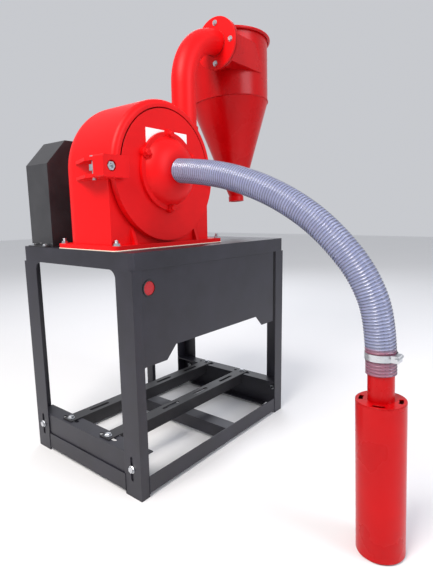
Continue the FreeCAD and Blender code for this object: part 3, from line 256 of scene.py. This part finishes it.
# The wire makes a darker line round each bulge, whose place along the hose is in the mesh.
rib = add(hose_pvc, "ShaderNodeAttribute", {"attribute_name": "rib"})
wire_line = add(hose_pvc, "ShaderNodeMapRange", {"From Min": -0.2, "To Max": 0.8},
                Value=rib.outputs["Fac"])
lined = add(hose_pvc, "ShaderNodeMix", {"data_type": "RGBA", 7: linear("5C6082")},
            Factor=wire_line.outputs["Result"])
feed(hose_pvc, tone.outputs[2], lined, 6)
feed(hose_pvc, lined.outputs[2], painted_neck_show_through, 6)
feed(hose_pvc, painted_neck_show_through.outputs[2], shader, "Base Color")
shader.inputs["Roughness"].default_value = 0.3
shader.inputs["IOR"].default_value = 1.53
shader.inputs["Transmission Weight"].default_value = 0.62
shader.inputs["Coat Weight"].default_value = 0.3
shader.inputs["Coat Roughness"].default_value = 0.1

# Hard-drawn spring wire, seen through the wall as a darker thread.
spring_wire, shader = new_material("spring_wire")
spot = add(spring_wire, "ShaderNodeTexCoord").outputs["Object"]
streak = add(spring_wire, "ShaderNodeTexNoise", {"Scale": 1 / WIRE_STREAK}, Vector=spot)
tone = add(spring_wire, "ShaderNodeMix", {"data_type": "RGBA", 6: linear("504E5A"),
                                          7: linear("7C7A88")}, Factor=streak.outputs["Fac"])
feed(spring_wire, tone.outputs[2], shader, "Base Color")
shader.inputs["Metallic"].default_value = 1
shader.inputs["Roughness"].default_value = 0.35

wall_tree, given, result = new_tree(
    "hose_wall", Crest=HOSE_CREST, Groove=HOSE_GROOVE, Pitch=WIRE_PITCH,
    Step=WIRE_PITCH / RIB_STEPS, Sides=40, Finish=hose_pvc)
line = grow(wall_tree, "GeometryNodeResampleCurve", {"mode": "LENGTH"},
            Curve=given.outputs["Geometry"], Length=given.outputs["Step"])
along = grow(wall_tree, "GeometryNodeSplineParameter")
phase = grow(wall_tree, "ShaderNodeMath", {"operation": "DIVIDE"}, i0=along.outputs["Length"],
             i1=given.outputs["Pitch"])
angle = grow(wall_tree, "ShaderNodeMath", {"operation": "MULTIPLY", 1: tau},
             i0=phase.outputs["Value"])
wave = grow(wall_tree, "ShaderNodeMath", {"operation": "COSINE"}, i0=angle.outputs["Value"])
bulge = grow(wall_tree, "ShaderNodeMapRange", {"From Min": -1, "From Max": 1},
             Value=wave.outputs["Value"], To_Min=given.outputs["Groove"],
             To_Max=given.outputs["Crest"])
ring = grow(wall_tree, "GeometryNodeCurvePrimitiveCircle", {"Radius": 1},
            Resolution=given.outputs["Sides"])
marked = grow(wall_tree, "GeometryNodeStoreNamedAttribute", {"Name": "rib"},
              Geometry=line.outputs["Curve"], Value=wave.outputs["Value"])
tube = grow(wall_tree, "GeometryNodeCurveToMesh", Curve=marked.outputs["Geometry"],
            Profile_Curve=ring.outputs["Curve"], Scale=bulge.outputs["Result"])
whole = grow(wall_tree, "GeometryNodeRealizeInstances", Geometry=tube.outputs["Mesh"])
dressed = grow(wall_tree, "GeometryNodeSetMaterial", Geometry=whole.outputs["Geometry"],
               Material=given.outputs["Finish"])
wall_tree.links.new(dressed.outputs["Geometry"], result.inputs["Geometry"])
hose = finish_mesh(grown_mesh(wall_tree, route_object, "suction_hose_wall", Finish=hose_pvc),
                   "suction_hose_wall", hose_pvc, 80)
thickness = hose.modifiers.new("wall", "SOLIDIFY")
thickness.thickness = HOSE_WALL
thickness.offset = -1

coil_tree, given, result = new_tree(
    "hose_wire", Coil=HOSE_CREST - HOSE_WALL / 2, Pitch=WIRE_PITCH, Step=WIRE_PITCH / WIRE_STEPS,
    Wire=WIRE_RADIUS, Sides=6, Finish=spring_wire)
line = grow(coil_tree, "GeometryNodeResampleCurve", {"mode": "LENGTH"},
            Curve=given.outputs["Geometry"], Length=given.outputs["Step"])
along = grow(coil_tree, "GeometryNodeSplineParameter")
phase = grow(coil_tree, "ShaderNodeMath", {"operation": "DIVIDE"}, i0=along.outputs["Length"],
             i1=given.outputs["Pitch"])
angle = grow(coil_tree, "ShaderNodeMath", {"operation": "MULTIPLY", 1: tau},
             i0=phase.outputs["Value"])
outward = grow(coil_tree, "ShaderNodeVectorRotate", {"rotation_type": "AXIS_ANGLE"},
               Vector=grow(coil_tree, "GeometryNodeInputNormal").outputs["Normal"],
               Axis=grow(coil_tree, "GeometryNodeInputTangent").outputs["Tangent"],
               Angle=angle.outputs["Value"])
reach = grow(coil_tree, "ShaderNodeVectorMath", {"operation": "SCALE"},
             i0=outward.outputs["Vector"], Scale=given.outputs["Coil"])
wound = grow(coil_tree, "GeometryNodeSetPosition", Geometry=line.outputs["Curve"],
             Offset=reach.outputs["Vector"])
ring = grow(coil_tree, "GeometryNodeCurvePrimitiveCircle", Radius=given.outputs["Wire"],
            Resolution=given.outputs["Sides"])
tube = grow(coil_tree, "GeometryNodeCurveToMesh", {"Fill Caps": True},
            Curve=wound.outputs["Geometry"], Profile_Curve=ring.outputs["Curve"])
whole = grow(coil_tree, "GeometryNodeRealizeInstances", Geometry=tube.outputs["Mesh"])
dressed = grow(coil_tree, "GeometryNodeSetMaterial", Geometry=whole.outputs["Geometry"],
               Material=given.outputs["Finish"])
coil_tree.links.new(dressed.outputs["Geometry"], result.inputs["Geometry"])
coil = finish_mesh(grown_mesh(coil_tree, route_object, "hose_wire_coil", Finish=spring_wire),
                   "hose_wire_coil", spring_wire, 60)
bpy.data.objects.remove(route_object)
for piece in (hose, coil):
    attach(piece, "door")
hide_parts("suction_hose")

# ------------------------------------------------------------------ stand
# Folded and welded sheet steel, powder coated in charcoal: a deck with a turned-down skirt,
# four angle legs, base rails and a back post. The coat has a fine orange-peel texture.
PEEL_GRAIN, DUST_PATCH, EDGE_ROUND = 1.4 * MM, 70 * MM, 1.0 * MM


def coated_steel(name, dark, light, rough):
    """Powder coat: even and satin, slightly rippled, dusty in patches, rounded at the edges."""
    material, shader = new_material(name)
    spot = add(material, "ShaderNodeTexCoord").outputs["Object"]
    dust = add(material, "ShaderNodeTexNoise", {"Scale": 1 / DUST_PATCH, "Detail": 6,
                                                "Roughness": 0.62}, Vector=spot)
    spread = add(material, "ShaderNodeMapRange", {"From Min": 0.35, "From Max": 0.75},
                 Value=dust.outputs["Fac"])
    tone = add(material, "ShaderNodeMix", {"data_type": "RGBA", 6: linear(dark),
                                           7: linear(light)}, Factor=spread.outputs["Result"])
    feed(material, tone.outputs[2], shader, "Base Color")
    gloss = add(material, "ShaderNodeMapRange", {"To Min": rough, "To Max": rough + 0.14},
                Value=dust.outputs["Fac"])
    feed(material, gloss.outputs["Result"], shader, "Roughness")
    peel = add(material, "ShaderNodeTexNoise", {"Scale": 1 / PEEL_GRAIN, "Detail": 1},
               Vector=spot)
    rounded = add(material, "ShaderNodeBevel", {"samples": 4, "Radius": EDGE_ROUND})
    relief = add(material, "ShaderNodeBump", {"Strength": 0.12, "Distance": 0.15 * MM},
                 Height=peel.outputs["Fac"], Normal=rounded.outputs["Normal"])
    feed(material, relief.outputs["Normal"], shader, "Normal")
    shader.inputs["IOR"].default_value = 1.5
    return material


def finish_node(name, material):
    """A CAD node keeps its shape and takes a material."""
    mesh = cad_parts[name].data
    mesh.materials.clear()
    mesh.materials.append(material)


charcoal_coat = coated_steel("charcoal_powder_coat", "1E1D25", "292832", 0.36)
for name in ("deck", "leg_front_left", "leg_front_right", "leg_rear_left", "leg_rear_right",
             "base_rail_front", "base_rail_rear", "base_rail_left", "base_rail_right",
             "base_rail_middle", "rear_post", "front_panel", "cradle_beam_left",
             "cradle_beam_right"):
    finish_node(name, charcoal_coat)
black_coat = coated_steel("black_powder_coat", "1E1D20", "29282B", 0.4)
for name in ("motor_rail_front", "motor_rail_rear"):
    finish_node(name, black_coat)
guard_coat = coated_steel("guard_powder_coat", "28282B", "38383B", 0.34)
finish_node("belt_guard", guard_coat)

# ------------------------------------------------------------------ red castings and sheet
# Grey iron castings and rolled sheet, sprayed with the same gloss red enamel. The castings
# show the sand mould's grain through the paint; the sheet pieces are smooth.
SPRAY_PATCH, CASTING_ROUND = 90 * MM, 1.6 * MM


def red_enamel(name, deep, bright, rough, grain, depth):
    """Alkyd enamel: saturated and glossy, a little uneven where it was sprayed thin."""
    material, shader = new_material(name)
    spot = add(material, "ShaderNodeTexCoord").outputs["Object"]
    veil = add(material, "ShaderNodeTexNoise", {"Scale": 1 / SPRAY_PATCH, "Detail": 4},
               Vector=spot)
    tone = add(material, "ShaderNodeMix", {"data_type": "RGBA", 6: linear(deep),
                                           7: linear(bright)}, Factor=veil.outputs["Fac"])
    feed(material, tone.outputs[2], shader, "Base Color")
    gloss = add(material, "ShaderNodeMapRange", {"To Min": rough, "To Max": rough + 0.12},
                Value=veil.outputs["Fac"])
    feed(material, gloss.outputs["Result"], shader, "Roughness")
    sand = add(material, "ShaderNodeTexNoise", {"Scale": 1 / grain, "Detail": 5,
                                                "Roughness": 0.55}, Vector=spot)
    rounded = add(material, "ShaderNodeBevel", {"samples": 4, "Radius": CASTING_ROUND})
    relief = add(material, "ShaderNodeBump", {"Strength": 0.5, "Distance": depth},
                 Height=sand.outputs["Fac"], Normal=rounded.outputs["Normal"])
    feed(material, relief.outputs["Normal"], shader, "Normal")
    shader.inputs["IOR"].default_value = 1.4
    shader.inputs["Specular IOR Level"].default_value = 0.3
    return material


cast_red = red_enamel("red_enamel_on_cast_iron", "CA0106", "E6050B", 0.4, 5 * MM, 0.35 * MM)
# The sheet copy is the same enamel in a darker red: painted shade, matching the shaded cyclone;
# every sheet piece takes it.
sheet_red_painted_shade = red_enamel("red_enamel_on_sheet_painted_shade", "A80106", "C40308", 0.22, 22 * MM, 0.25 * MM)
for name in ("mill_housing", "door", "inlet_bell", "bearing_housing", "discharge_elbow",
             "latch_hand_nut"):
    finish_node(name, cast_red)
for name in ("cyclone_body", "cyclone_rim", "cyclone_outlet", "nozzle_neck", "nozzle_sleeve"):
    finish_node(name, sheet_red_painted_shade)

# ------------------------------------------------------------------ fasteners and small parts
# Bright zinc-plated bolts, nuts, pins and the hose clamp; machined steel inside the mill; a
# rubber seal and gasket; a push button of red and black plastic; a blank enamelled plate.
def metal(name, dark, light, rough, grain):
    """Bare or plated metal: the colour is in the reflection, broken up by fine marks."""
    material, shader = new_material(name)
    spot = add(material, "ShaderNodeTexCoord").outputs["Object"]
    marks = add(material, "ShaderNodeTexNoise", {"Scale": 1 / grain, "Detail": 4}, Vector=spot)
    tone = add(material, "ShaderNodeMix", {"data_type": "RGBA", 6: linear(dark),
                                           7: linear(light)}, Factor=marks.outputs["Fac"])
    feed(material, tone.outputs[2], shader, "Base Color")
    gloss = add(material, "ShaderNodeMapRange", {"To Min": rough, "To Max": rough + 0.15},
                Value=marks.outputs["Fac"])
    feed(material, gloss.outputs["Result"], shader, "Roughness")
    shader.inputs["Metallic"].default_value = 1
    return material


def plain(name, dark, light, rough, grain, depth):
    """Moulded plastic, rubber or enamel: one colour with a fine surface grain."""
    material, shader = new_material(name)
    spot = add(material, "ShaderNodeTexCoord").outputs["Object"]
    fine = add(material, "ShaderNodeTexNoise", {"Scale": 1 / grain, "Detail": 3}, Vector=spot)
    tone = add(material, "ShaderNodeMix", {"data_type": "RGBA", 6: linear(dark),
                                           7: linear(light)}, Factor=fine.outputs["Fac"])
    feed(material, tone.outputs[2], shader, "Base Color")
    relief = add(material, "ShaderNodeBump", {"Strength": 0.3, "Distance": depth},
                 Height=fine.outputs["Fac"])
    feed(material, relief.outputs["Normal"], shader, "Normal")
    shader.inputs["Roughness"].default_value = rough
    return material


zinc = metal("bright_zinc_plate", "B9BCC0", "D8DADD", 0.22, 4 * MM)
steel = metal("machined_steel", "85868A", "A2A3A6", 0.3, 2 * MM)
iron = metal("cast_iron_pulley", "55565A", "6A6B6F", 0.45, 3 * MM)
for name in ("hinge_nuts", "hose_clamp", "latch_swing_bolt", "hinge_eye_bolt", "door_pins",
             "shaft_nuts"):
    finish_node(name, zinc)
for name in ("rotor_shaft", "rotor_discs", "hammer_pins", "hammer_spacers", "hammer_row_1",
             "hammer_row_2", "hammer_row_3", "hammer_row_4", "screen", "fan",
             "shaft_bearings"):
    finish_node(name, steel)
finish_node("drive_pulley", iron)
rubber = plain("black_rubber", "1B1B1C", "262627", 0.7, 1.5 * MM, 0.1 * MM)
for name in ("door_seal", "flange_gasket"):
    finish_node(name, rubber)
finish_node("switch_bezel", plain("black_abs", "1C1C1E", "242426", 0.35, 0.8 * MM, 0.03 * MM))
finish_node("switch_button", plain("red_abs", "A81620", "BE1D26", 0.25, 0.8 * MM, 0.03 * MM))
finish_node("nameplate", plain("white_enamel", "F1F1EE", "FAFAF8", 0.3, 6 * MM, 0.03 * MM))

# ------------------------------------------------------------------ bolts
# Hot-forged hexagon bolts and nuts with chamfered corners, pressed washers and rolled threads.
# Those on the stand and the pipe are bright zinc; those on the inlet bell were painted with it.
HEX_CORNER, HEX_CHAMFER, WASHER_THICK, WASHER_REACH = 0.87, 0.9 * MM, 1.4 * MM, 1.19
THREAD_PITCH, THREAD_DEPTH, STUD_END = 1.5 * MM, 0.55 * MM, 3 * MM
SHANK_SHARE, HEX_SIDES, WASHER_SIDES, SHANK_SIDES = 0.9, 6, 20, 12
LARGE, SMALL = (8.5, 6.5, 5), (7, 5.5, 4)  # corner radius, head height and shank radius, mm


def solids_of(name):
    """The lowest and highest corner of each separate solid in a CAD node."""
    shell = bmesh.new()
    shell.from_mesh(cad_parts[name].data)
    bmesh.ops.remove_doubles(shell, verts=shell.verts, dist=1e-5)
    waiting, boxes = set(shell.verts), []
    while waiting:
        front = [waiting.pop()]
        met = []
        while front:
            here = front.pop()
            met.append(here.co.copy())
            for edge in here.link_edges:
                beside = edge.other_vert(here)
                if beside in waiting:
                    waiting.discard(beside)
                    front.append(beside)
        boxes.append([Vector(f(c[i] for c in met) for i in range(3)) for f in (min, max)])
    shell.free()
    return sorted(boxes, key=lambda ends: tuple(ends[0]))


def stacked(sides, rings):
    """Corners and faces of one closed turned shape: rings of (height, radius) on the Z axis."""
    points = [(r * cos(tau * i / sides), r * sin(tau * i / sides), z)
              for z, r in rings for i in range(sides)]
    faces = [tuple(range(sides))[::-1], tuple(len(points) - sides + i for i in range(sides))]
    for row in range(len(rings) - 1):
        for i in range(sides):
            a, b = row * sides + i, row * sides + (i + 1) % sides
            faces.append((a, b, b + sides, a + sides))
    return points, faces


def bolt_shape(name, corner, height, shank, length, stud=0.0, nut_at_end=False):
    """A bolt along Z from its head, or a nut that its stud passes by, to its end or far nut."""
    washer = stud + height - WASHER_THICK
    reach = corner * WASHER_REACH
    shapes = [stacked(HEX_SIDES, [(stud, corner * HEX_CORNER), (stud + HEX_CHAMFER, corner),
                                  (washer, corner)]),
              stacked(WASHER_SIDES, [(washer, reach), (stud + height, reach)])]
    inside = max(stud, HEX_CHAMFER)
    if length > stud + height:
        shapes.append(stacked(SHANK_SIDES, [(inside, shank * SHANK_SHARE),
                                            (length, shank * SHANK_SHARE)]))
    threads = [(0, stud)] if stud else []
    if nut_at_end:
        top = length - STUD_END
        shapes.append(stacked(HEX_SIDES, [
            (top - height, corner), (top - HEX_CHAMFER, corner), (top, corner * HEX_CORNER)]))
        threads.append((top, length))
    for start, end in threads:
        turns = max(2, round((end - start) / THREAD_PITCH))
        rings = [(start + (end - start) * i / (2 * turns), shank - THREAD_DEPTH * (i % 2 == 0))
                 for i in range(2 * turns + 1)]
        shapes.append(stacked(SHANK_SIDES, rings))
    points, faces = [], []
    for more_points, more_faces in shapes:
        faces += [tuple(i + len(points) for i in face) for face in more_faces]
        points += more_points
    mesh = bpy.data.meshes.new(name)
    mesh.from_pydata(points, [], faces)
    return bpy.data.objects.new(name, mesh)


bolt_tree, given, result = new_tree("bolt_pattern", Size=1.0, Turn=0.0, Tip=0.0, Finish=zinc)
bolt_tree.interface.new_socket("Bolt", in_out="INPUT", socket_type="NodeSocketObject")
shape = grow(bolt_tree, "GeometryNodeObjectInfo", Object=given.outputs["Bolt"])
stance = grow(bolt_tree, "ShaderNodeCombineXYZ", X=given.outputs["Tip"], Y=given.outputs["Turn"])
copies = grow(bolt_tree, "GeometryNodeInstanceOnPoints", Points=given.outputs["Geometry"],
              Instance=shape.outputs["Geometry"], Rotation=stance.outputs["Vector"],
              Scale=given.outputs["Size"])
whole = grow(bolt_tree, "GeometryNodeRealizeInstances", Geometry=copies.outputs["Instances"])
dressed = grow(bolt_tree, "GeometryNodeSetMaterial", Geometry=whole.outputs["Geometry"],
               Material=given.outputs["Finish"])
bolt_tree.links.new(dressed.outputs["Geometry"], result.inputs["Geometry"])

# Each row: the node, its body, slot and finish, the size, the stud past the nut in mm, whether
# a nut is at the far end, the axis that the bolts lie along, and the way or ways they point.
for name, body, slot, finish, (corner, height, shank), stud, nut, along, ways in (
        ("housing_bolts", "stand", "zinc", zinc, LARGE, 7, False, 2, (-1,)),
        ("guard_bolts", "stand", "zinc", zinc, SMALL, 0, False, 2, (-1,)),
        ("flange_bolts", "stand", "zinc", zinc, SMALL, 0, True, 0, (1,)),
        ("cradle_bolts", "motor_cradle", "zinc", zinc, LARGE, 0, True, 0, (1, -1)),
        ("motor_rail_bolts_front", "motor_rail_front", "zinc", zinc, LARGE, 0, True, 2, (-1,)),
        ("motor_rail_bolts_rear", "motor_rail_rear", "zinc", zinc, LARGE, 0, True, 2, (-1,)),
        ("bell_bolts", "door", "red_paint", cast_red, LARGE, 0, False, 1, (1,))):
    meshes = []
    for way in ways:
        starts, length = [], 0
        for low, high in solids_of(name):
            middle = (low + high) / 2
            if len(ways) > 1 and middle[along] * way > 0:
                continue
            length = high[along] - low[along]
            middle[along] = low[along] if way > 0 else high[along]
            starts.append(middle)
        spots = bpy.data.objects.new("spots", bpy.data.meshes.new("spots"))
        spots.data.from_pydata([tuple(p) for p in starts], [], [])
        bpy.context.scene.collection.objects.link(spots)
        bolt = bolt_shape(f"{name}_shape", corner * MM, height * MM, shank * MM, length,
                          stud * MM, nut)
        bpy.context.scene.collection.objects.link(bolt)
        turn = pi / 2 * way if along == 0 else 0.0
        tip = -pi / 2 if along == 1 else (pi if along == 2 and way < 0 else 0.0)
        meshes.append(grown_mesh(bolt_tree, spots, "spots_done", Bolt=bolt, Turn=turn, Tip=tip,
                                 Finish=finish))
        bpy.data.objects.remove(spots)
        bpy.data.objects.remove(bolt)
    joined = bmesh.new()
    for mesh in meshes:
        joined.from_mesh(mesh)
    whole_mesh = bpy.data.meshes.new(f"{name}_forged")
    joined.to_mesh(whole_mesh)
    joined.free()
    piece = finish_mesh(whole_mesh, f"{name}_forged", finish, 30)
    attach(piece, body)
    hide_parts(name)

# ------------------------------------------------------------------ nozzle
# A rolled sheet sleeve round the suction neck. Its pressed lid has a rolled edge and four
# curved slots, through which air comes down to the grain.
NOZZLE_LEAN, SLEEVE_RADIUS, NOZZLE_LENGTH = radians(2.5), 50 * MM, 330 * MM
NECK_RADIUS, LID_SHEET, LID_ROLL = 26.3 * MM, 2 * MM, 1.2 * MM
SLOT_RADIUS, SLOT_HALF_WIDTH, SLOT_HALF_ANGLE = 39 * MM, 4.2 * MM, radians(17)
SLOT_ANGLES = [radians(a) for a in (12, 102, 192, 282)]
LID_SIDES, SLOT_STEPS, ROLL_SIDES, NECK_PLAY = 96, 10, 10, 0.05 * MM
foot_point = Vector(HOSE_ROUTE_MM[-1]) * MM
lift = SLEEVE_RADIUS * sin(NOZZLE_LEAN)
nozzle_place = Matrix.Translation((
    foot_point.x, foot_point.y - (foot_point.z - lift) * sin(NOZZLE_LEAN) / cos(NOZZLE_LEAN),
    lift)) @ Matrix.Rotation(-NOZZLE_LEAN, 4, "X")


def lathed(profile, sides, place):
    """Corners and faces of a closed profile of (radius, height) turned round the Z axis."""
    points, faces = [], []
    count = len(profile)
    for i in range(sides):
        for r, z in profile:
            points.append(place @ Vector((r * cos(tau * i / sides), r * sin(tau * i / sides), z)))
    for i in range(sides):
        for j in range(count):
            a, b = i * count + j, i * count + (j + 1) % count
            c, e = (i + 1) % sides * count + (j + 1) % count, (i + 1) % sides * count + j
            faces.append((a, b, c, e))
    return points, faces


sleeve_top = NOZZLE_LENGTH - LID_SHEET
loops = []
for radius in (SLEEVE_RADIUS - LID_ROLL, NECK_RADIUS + NECK_PLAY):
    loops.append([Vector((radius * cos(tau * i / LID_SIDES), radius * sin(tau * i / LID_SIDES)))
                  for i in range(LID_SIDES)])
for middle in SLOT_ANGLES:
    ring = []
    for i in range(SLOT_STEPS + 1):
        a = middle - SLOT_HALF_ANGLE + 2 * SLOT_HALF_ANGLE * i / SLOT_STEPS
        ring.append((SLOT_RADIUS + SLOT_HALF_WIDTH, a))
    for i in range(SLOT_STEPS + 1):
        a = middle + SLOT_HALF_ANGLE - 2 * SLOT_HALF_ANGLE * i / SLOT_STEPS
        ring.append((SLOT_RADIUS - SLOT_HALF_WIDTH, a))
    loops.append([Vector((r * cos(a), r * sin(a))) for r, a in ring])
corners, edges = [], []
for loop in loops:
    first = len(corners)
    corners += loop
    edges += [(first + i, first + (i + 1) % len(loop)) for i in range(len(loop))]
flat_points, _, flat_faces, *_ = delaunay_2d_cdt(corners, edges, [], 0, 1e-7)


def in_metal(x, y):
    """Whether a point of the lid is in its sheet, not in the neck's hole or a slot."""
    r, a = hypot(x, y), atan2(y, x)
    if not NECK_RADIUS < r < SLEEVE_RADIUS:
        return False
    near = min(abs((a - s + pi) % tau - pi) for s in SLOT_ANGLES)
    return not (abs(r - SLOT_RADIUS) < SLOT_HALF_WIDTH and near < SLOT_HALF_ANGLE)


kept = []
for face in flat_faces:
    x = sum(flat_points[i].x for i in face) / len(face)
    y = sum(flat_points[i].y for i in face) / len(face)
    if in_metal(x, y):
        kept.append(face)
lid_mesh = bpy.data.meshes.new("nozzle_lid")
lid_mesh.from_pydata([(p.x, p.y, NOZZLE_LENGTH) for p in flat_points], [], kept)
lid_shell = bmesh.new()
lid_shell.from_mesh(lid_mesh)
bmesh.ops.delete(lid_shell, geom=[v for v in lid_shell.verts if not v.link_faces],
                 context="VERTS")
bmesh.ops.solidify(lid_shell, geom=lid_shell.faces[:], thickness=LID_SHEET)
bmesh.ops.transform(lid_shell, matrix=nozzle_place, verts=lid_shell.verts)
# The thickened sheet's corners and faces come in no set order, so they are sorted by place.
for parts, place in ((lid_shell.verts, lambda v: v.co),
                     (lid_shell.faces, lambda f: f.calc_center_median())):
    ranked = sorted(parts, key=lambda part: [round(c, 6) for c in place(part)])
    rank = {part: i for i, part in enumerate(ranked)}
    parts.sort(key=lambda part: rank[part])
lid_shell.to_mesh(lid_mesh)
lid_shell.free()
lid = finish_mesh(lid_mesh, "nozzle_lid", sheet_red_painted_shade, 40)
rim_profile = [(SLEEVE_RADIUS - LID_ROLL + LID_ROLL * cos(tau * k / ROLL_SIDES),
                sleeve_top + LID_ROLL + LID_ROLL * sin(tau * k / ROLL_SIDES))
               for k in range(ROLL_SIDES)]
rim_points, rim_faces = lathed(rim_profile, LID_SIDES, nozzle_place)
lid_rim = mesh_object("nozzle_lid_rim", rim_points, rim_faces, sheet_red_painted_shade, 80)
for piece in (lid, lid_rim):
    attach(piece, "door")
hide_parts("nozzle_cap")

# ------------------------------------------------------------------ sealant and welds
# A bead of cream sealant runs round the mill's foot on the deck. The sheet parts are joined by
# electric welding, which leaves a row of overlapping ripples under the paint.
SEALANT_RADIUS, SEALANT_CORNER, SEALANT_LIFT = 1.5 * MM, 14 * MM, 0.9 * MM
FOOT_CORNERS, CORNER_STEPS = ((-333 * MM, -176 * MM), (77 * MM, 64 * MM)), 8
WELD_STEP, WELD_HALF_WIDTH, WELD_PROUD = 2.6 * MM, 2.3 * MM, 0.6 * MM
PIPE_RADIUS, PIPE_BEND_END = 36 * MM, Vector((167 * MM, -86 * MM, 1227 * MM))
CYCLONE_TILT = radians(4.5)
WAIST_CENTRE, WAIST_RADIUS = Vector((387 * MM, 34 * MM, 1105 * MM)), 139 * MM
PIPE_WELD_STEPS, WAIST_WELD_STEPS = 72, 144
sealant_paste = plain("cream_sealant", "D9CDBB", "E6DCCB", 0.55, 9 * MM, 0.2 * MM)
deck_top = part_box("mill_housing")[0][2]
corner_spots = []
for x, y, start in ((1, 1, 0), (0, 1, 90), (0, 0, 180), (1, 0, 270)):
    middle = Vector((FOOT_CORNERS[x][0] + SEALANT_CORNER * (1 - 2 * x),
                     FOOT_CORNERS[y][1] + SEALANT_CORNER * (1 - 2 * y)))
    for k in range(CORNER_STEPS + 1):
        a = radians(start + 90 * k / CORNER_STEPS)
        corner_spots.append((middle.x + SEALANT_CORNER * cos(a),
                             middle.y + SEALANT_CORNER * sin(a), deck_top + SEALANT_LIFT))


def line_object(name, lines, closed):
    """A curve object of straight-run lines, as a path for a tree to follow."""
    curve = bpy.data.curves.new(name, "CURVE")
    curve.dimensions = "3D"
    for points in lines:
        run = curve.splines.new("POLY")
        run.points.add(len(points) - 1)
        for point, place in zip(run.points, points):
            point.co = (*place, 1)
        run.use_cyclic_u = closed
    made = bpy.data.objects.new(name, curve)
    bpy.context.scene.collection.objects.link(made)
    return made


sealant_line = line_object("foot_sealant_line", [corner_spots], True)
sealant_line.data.bevel_depth = SEALANT_RADIUS
sealant_line.data.bevel_resolution = 3
bpy.context.view_layer.update()
sealant_mesh = bpy.data.meshes.new_from_object(
    sealant_line.evaluated_get(bpy.context.evaluated_depsgraph_get()))
bpy.data.objects.remove(sealant_line)
sealant = finish_mesh(sealant_mesh, "foot_sealant", sealant_paste, 60)
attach(sealant, "stand")

weld_tree, given, result = new_tree("weld_ripples", Step=WELD_STEP, Width=WELD_HALF_WIDTH,
                                    Finish=charcoal_coat)
line = grow(weld_tree, "GeometryNodeResampleCurve", {"mode": "LENGTH"},
            Curve=given.outputs["Geometry"], Length=given.outputs["Step"])
drop = grow(weld_tree, "GeometryNodeMeshIcoSphere", {"Subdivisions": 1},
            Radius=given.outputs["Width"])
copies = grow(weld_tree, "GeometryNodeInstanceOnPoints", Points=line.outputs["Curve"],
              Instance=drop.outputs["Mesh"])
whole = grow(weld_tree, "GeometryNodeRealizeInstances", Geometry=copies.outputs["Instances"])
dressed = grow(weld_tree, "GeometryNodeSetMaterial", Geometry=whole.outputs["Geometry"],
               Material=given.outputs["Finish"])
weld_tree.links.new(dressed.outputs["Geometry"], result.inputs["Geometry"])

frame_welds = []
for rail, x_side, y_side in (("base_rail_front", 0, 0), ("base_rail_front", 1, 0),
                             ("base_rail_rear", 0, 1), ("base_rail_rear", 1, 1),
                             ("base_rail_left", 0, 0), ("base_rail_left", 0, 1),
                             ("base_rail_right", 1, 0), ("base_rail_right", 1, 1)):
    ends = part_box(rail)
    x, y = ends[x_side][0], ends[y_side][1]
    frame_welds.append([(x, y, ends[0][2]), (x, y, ends[1][2])])
weld_reach = PIPE_RADIUS + WELD_PROUD
pipe_weld = [tuple(PIPE_BEND_END + Vector((-WELD_PROUD, weld_reach * cos(a), weld_reach * sin(a))))
             for a in (tau * k / PIPE_WELD_STEPS for k in range(PIPE_WELD_STEPS))]
cyclone_place = (Matrix.Translation(PIPE_BEND_END) @ Matrix.Rotation(-CYCLONE_TILT, 4, "X")
                 @ Matrix.Translation(-PIPE_BEND_END))
waist_weld = [tuple(cyclone_place @ (WAIST_CENTRE + Vector((WAIST_RADIUS * cos(a),
                                                            WAIST_RADIUS * sin(a), 0))))
              for a in (tau * k / WAIST_WELD_STEPS for k in range(WAIST_WELD_STEPS))]
for name, lines, closed, finish, slot in (
        ("frame_weld_beads", frame_welds, False, charcoal_coat, "frame_paint"),
        ("pipe_weld_beads", [pipe_weld, waist_weld], True, sheet_red_painted_shade, "red_paint")):
    path = line_object(f"{name}_path", lines, closed)
    beads = finish_mesh(grown_mesh(weld_tree, path, name, Finish=finish), name, finish, 80)
    bpy.data.objects.remove(path)
    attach(beads, "stand")
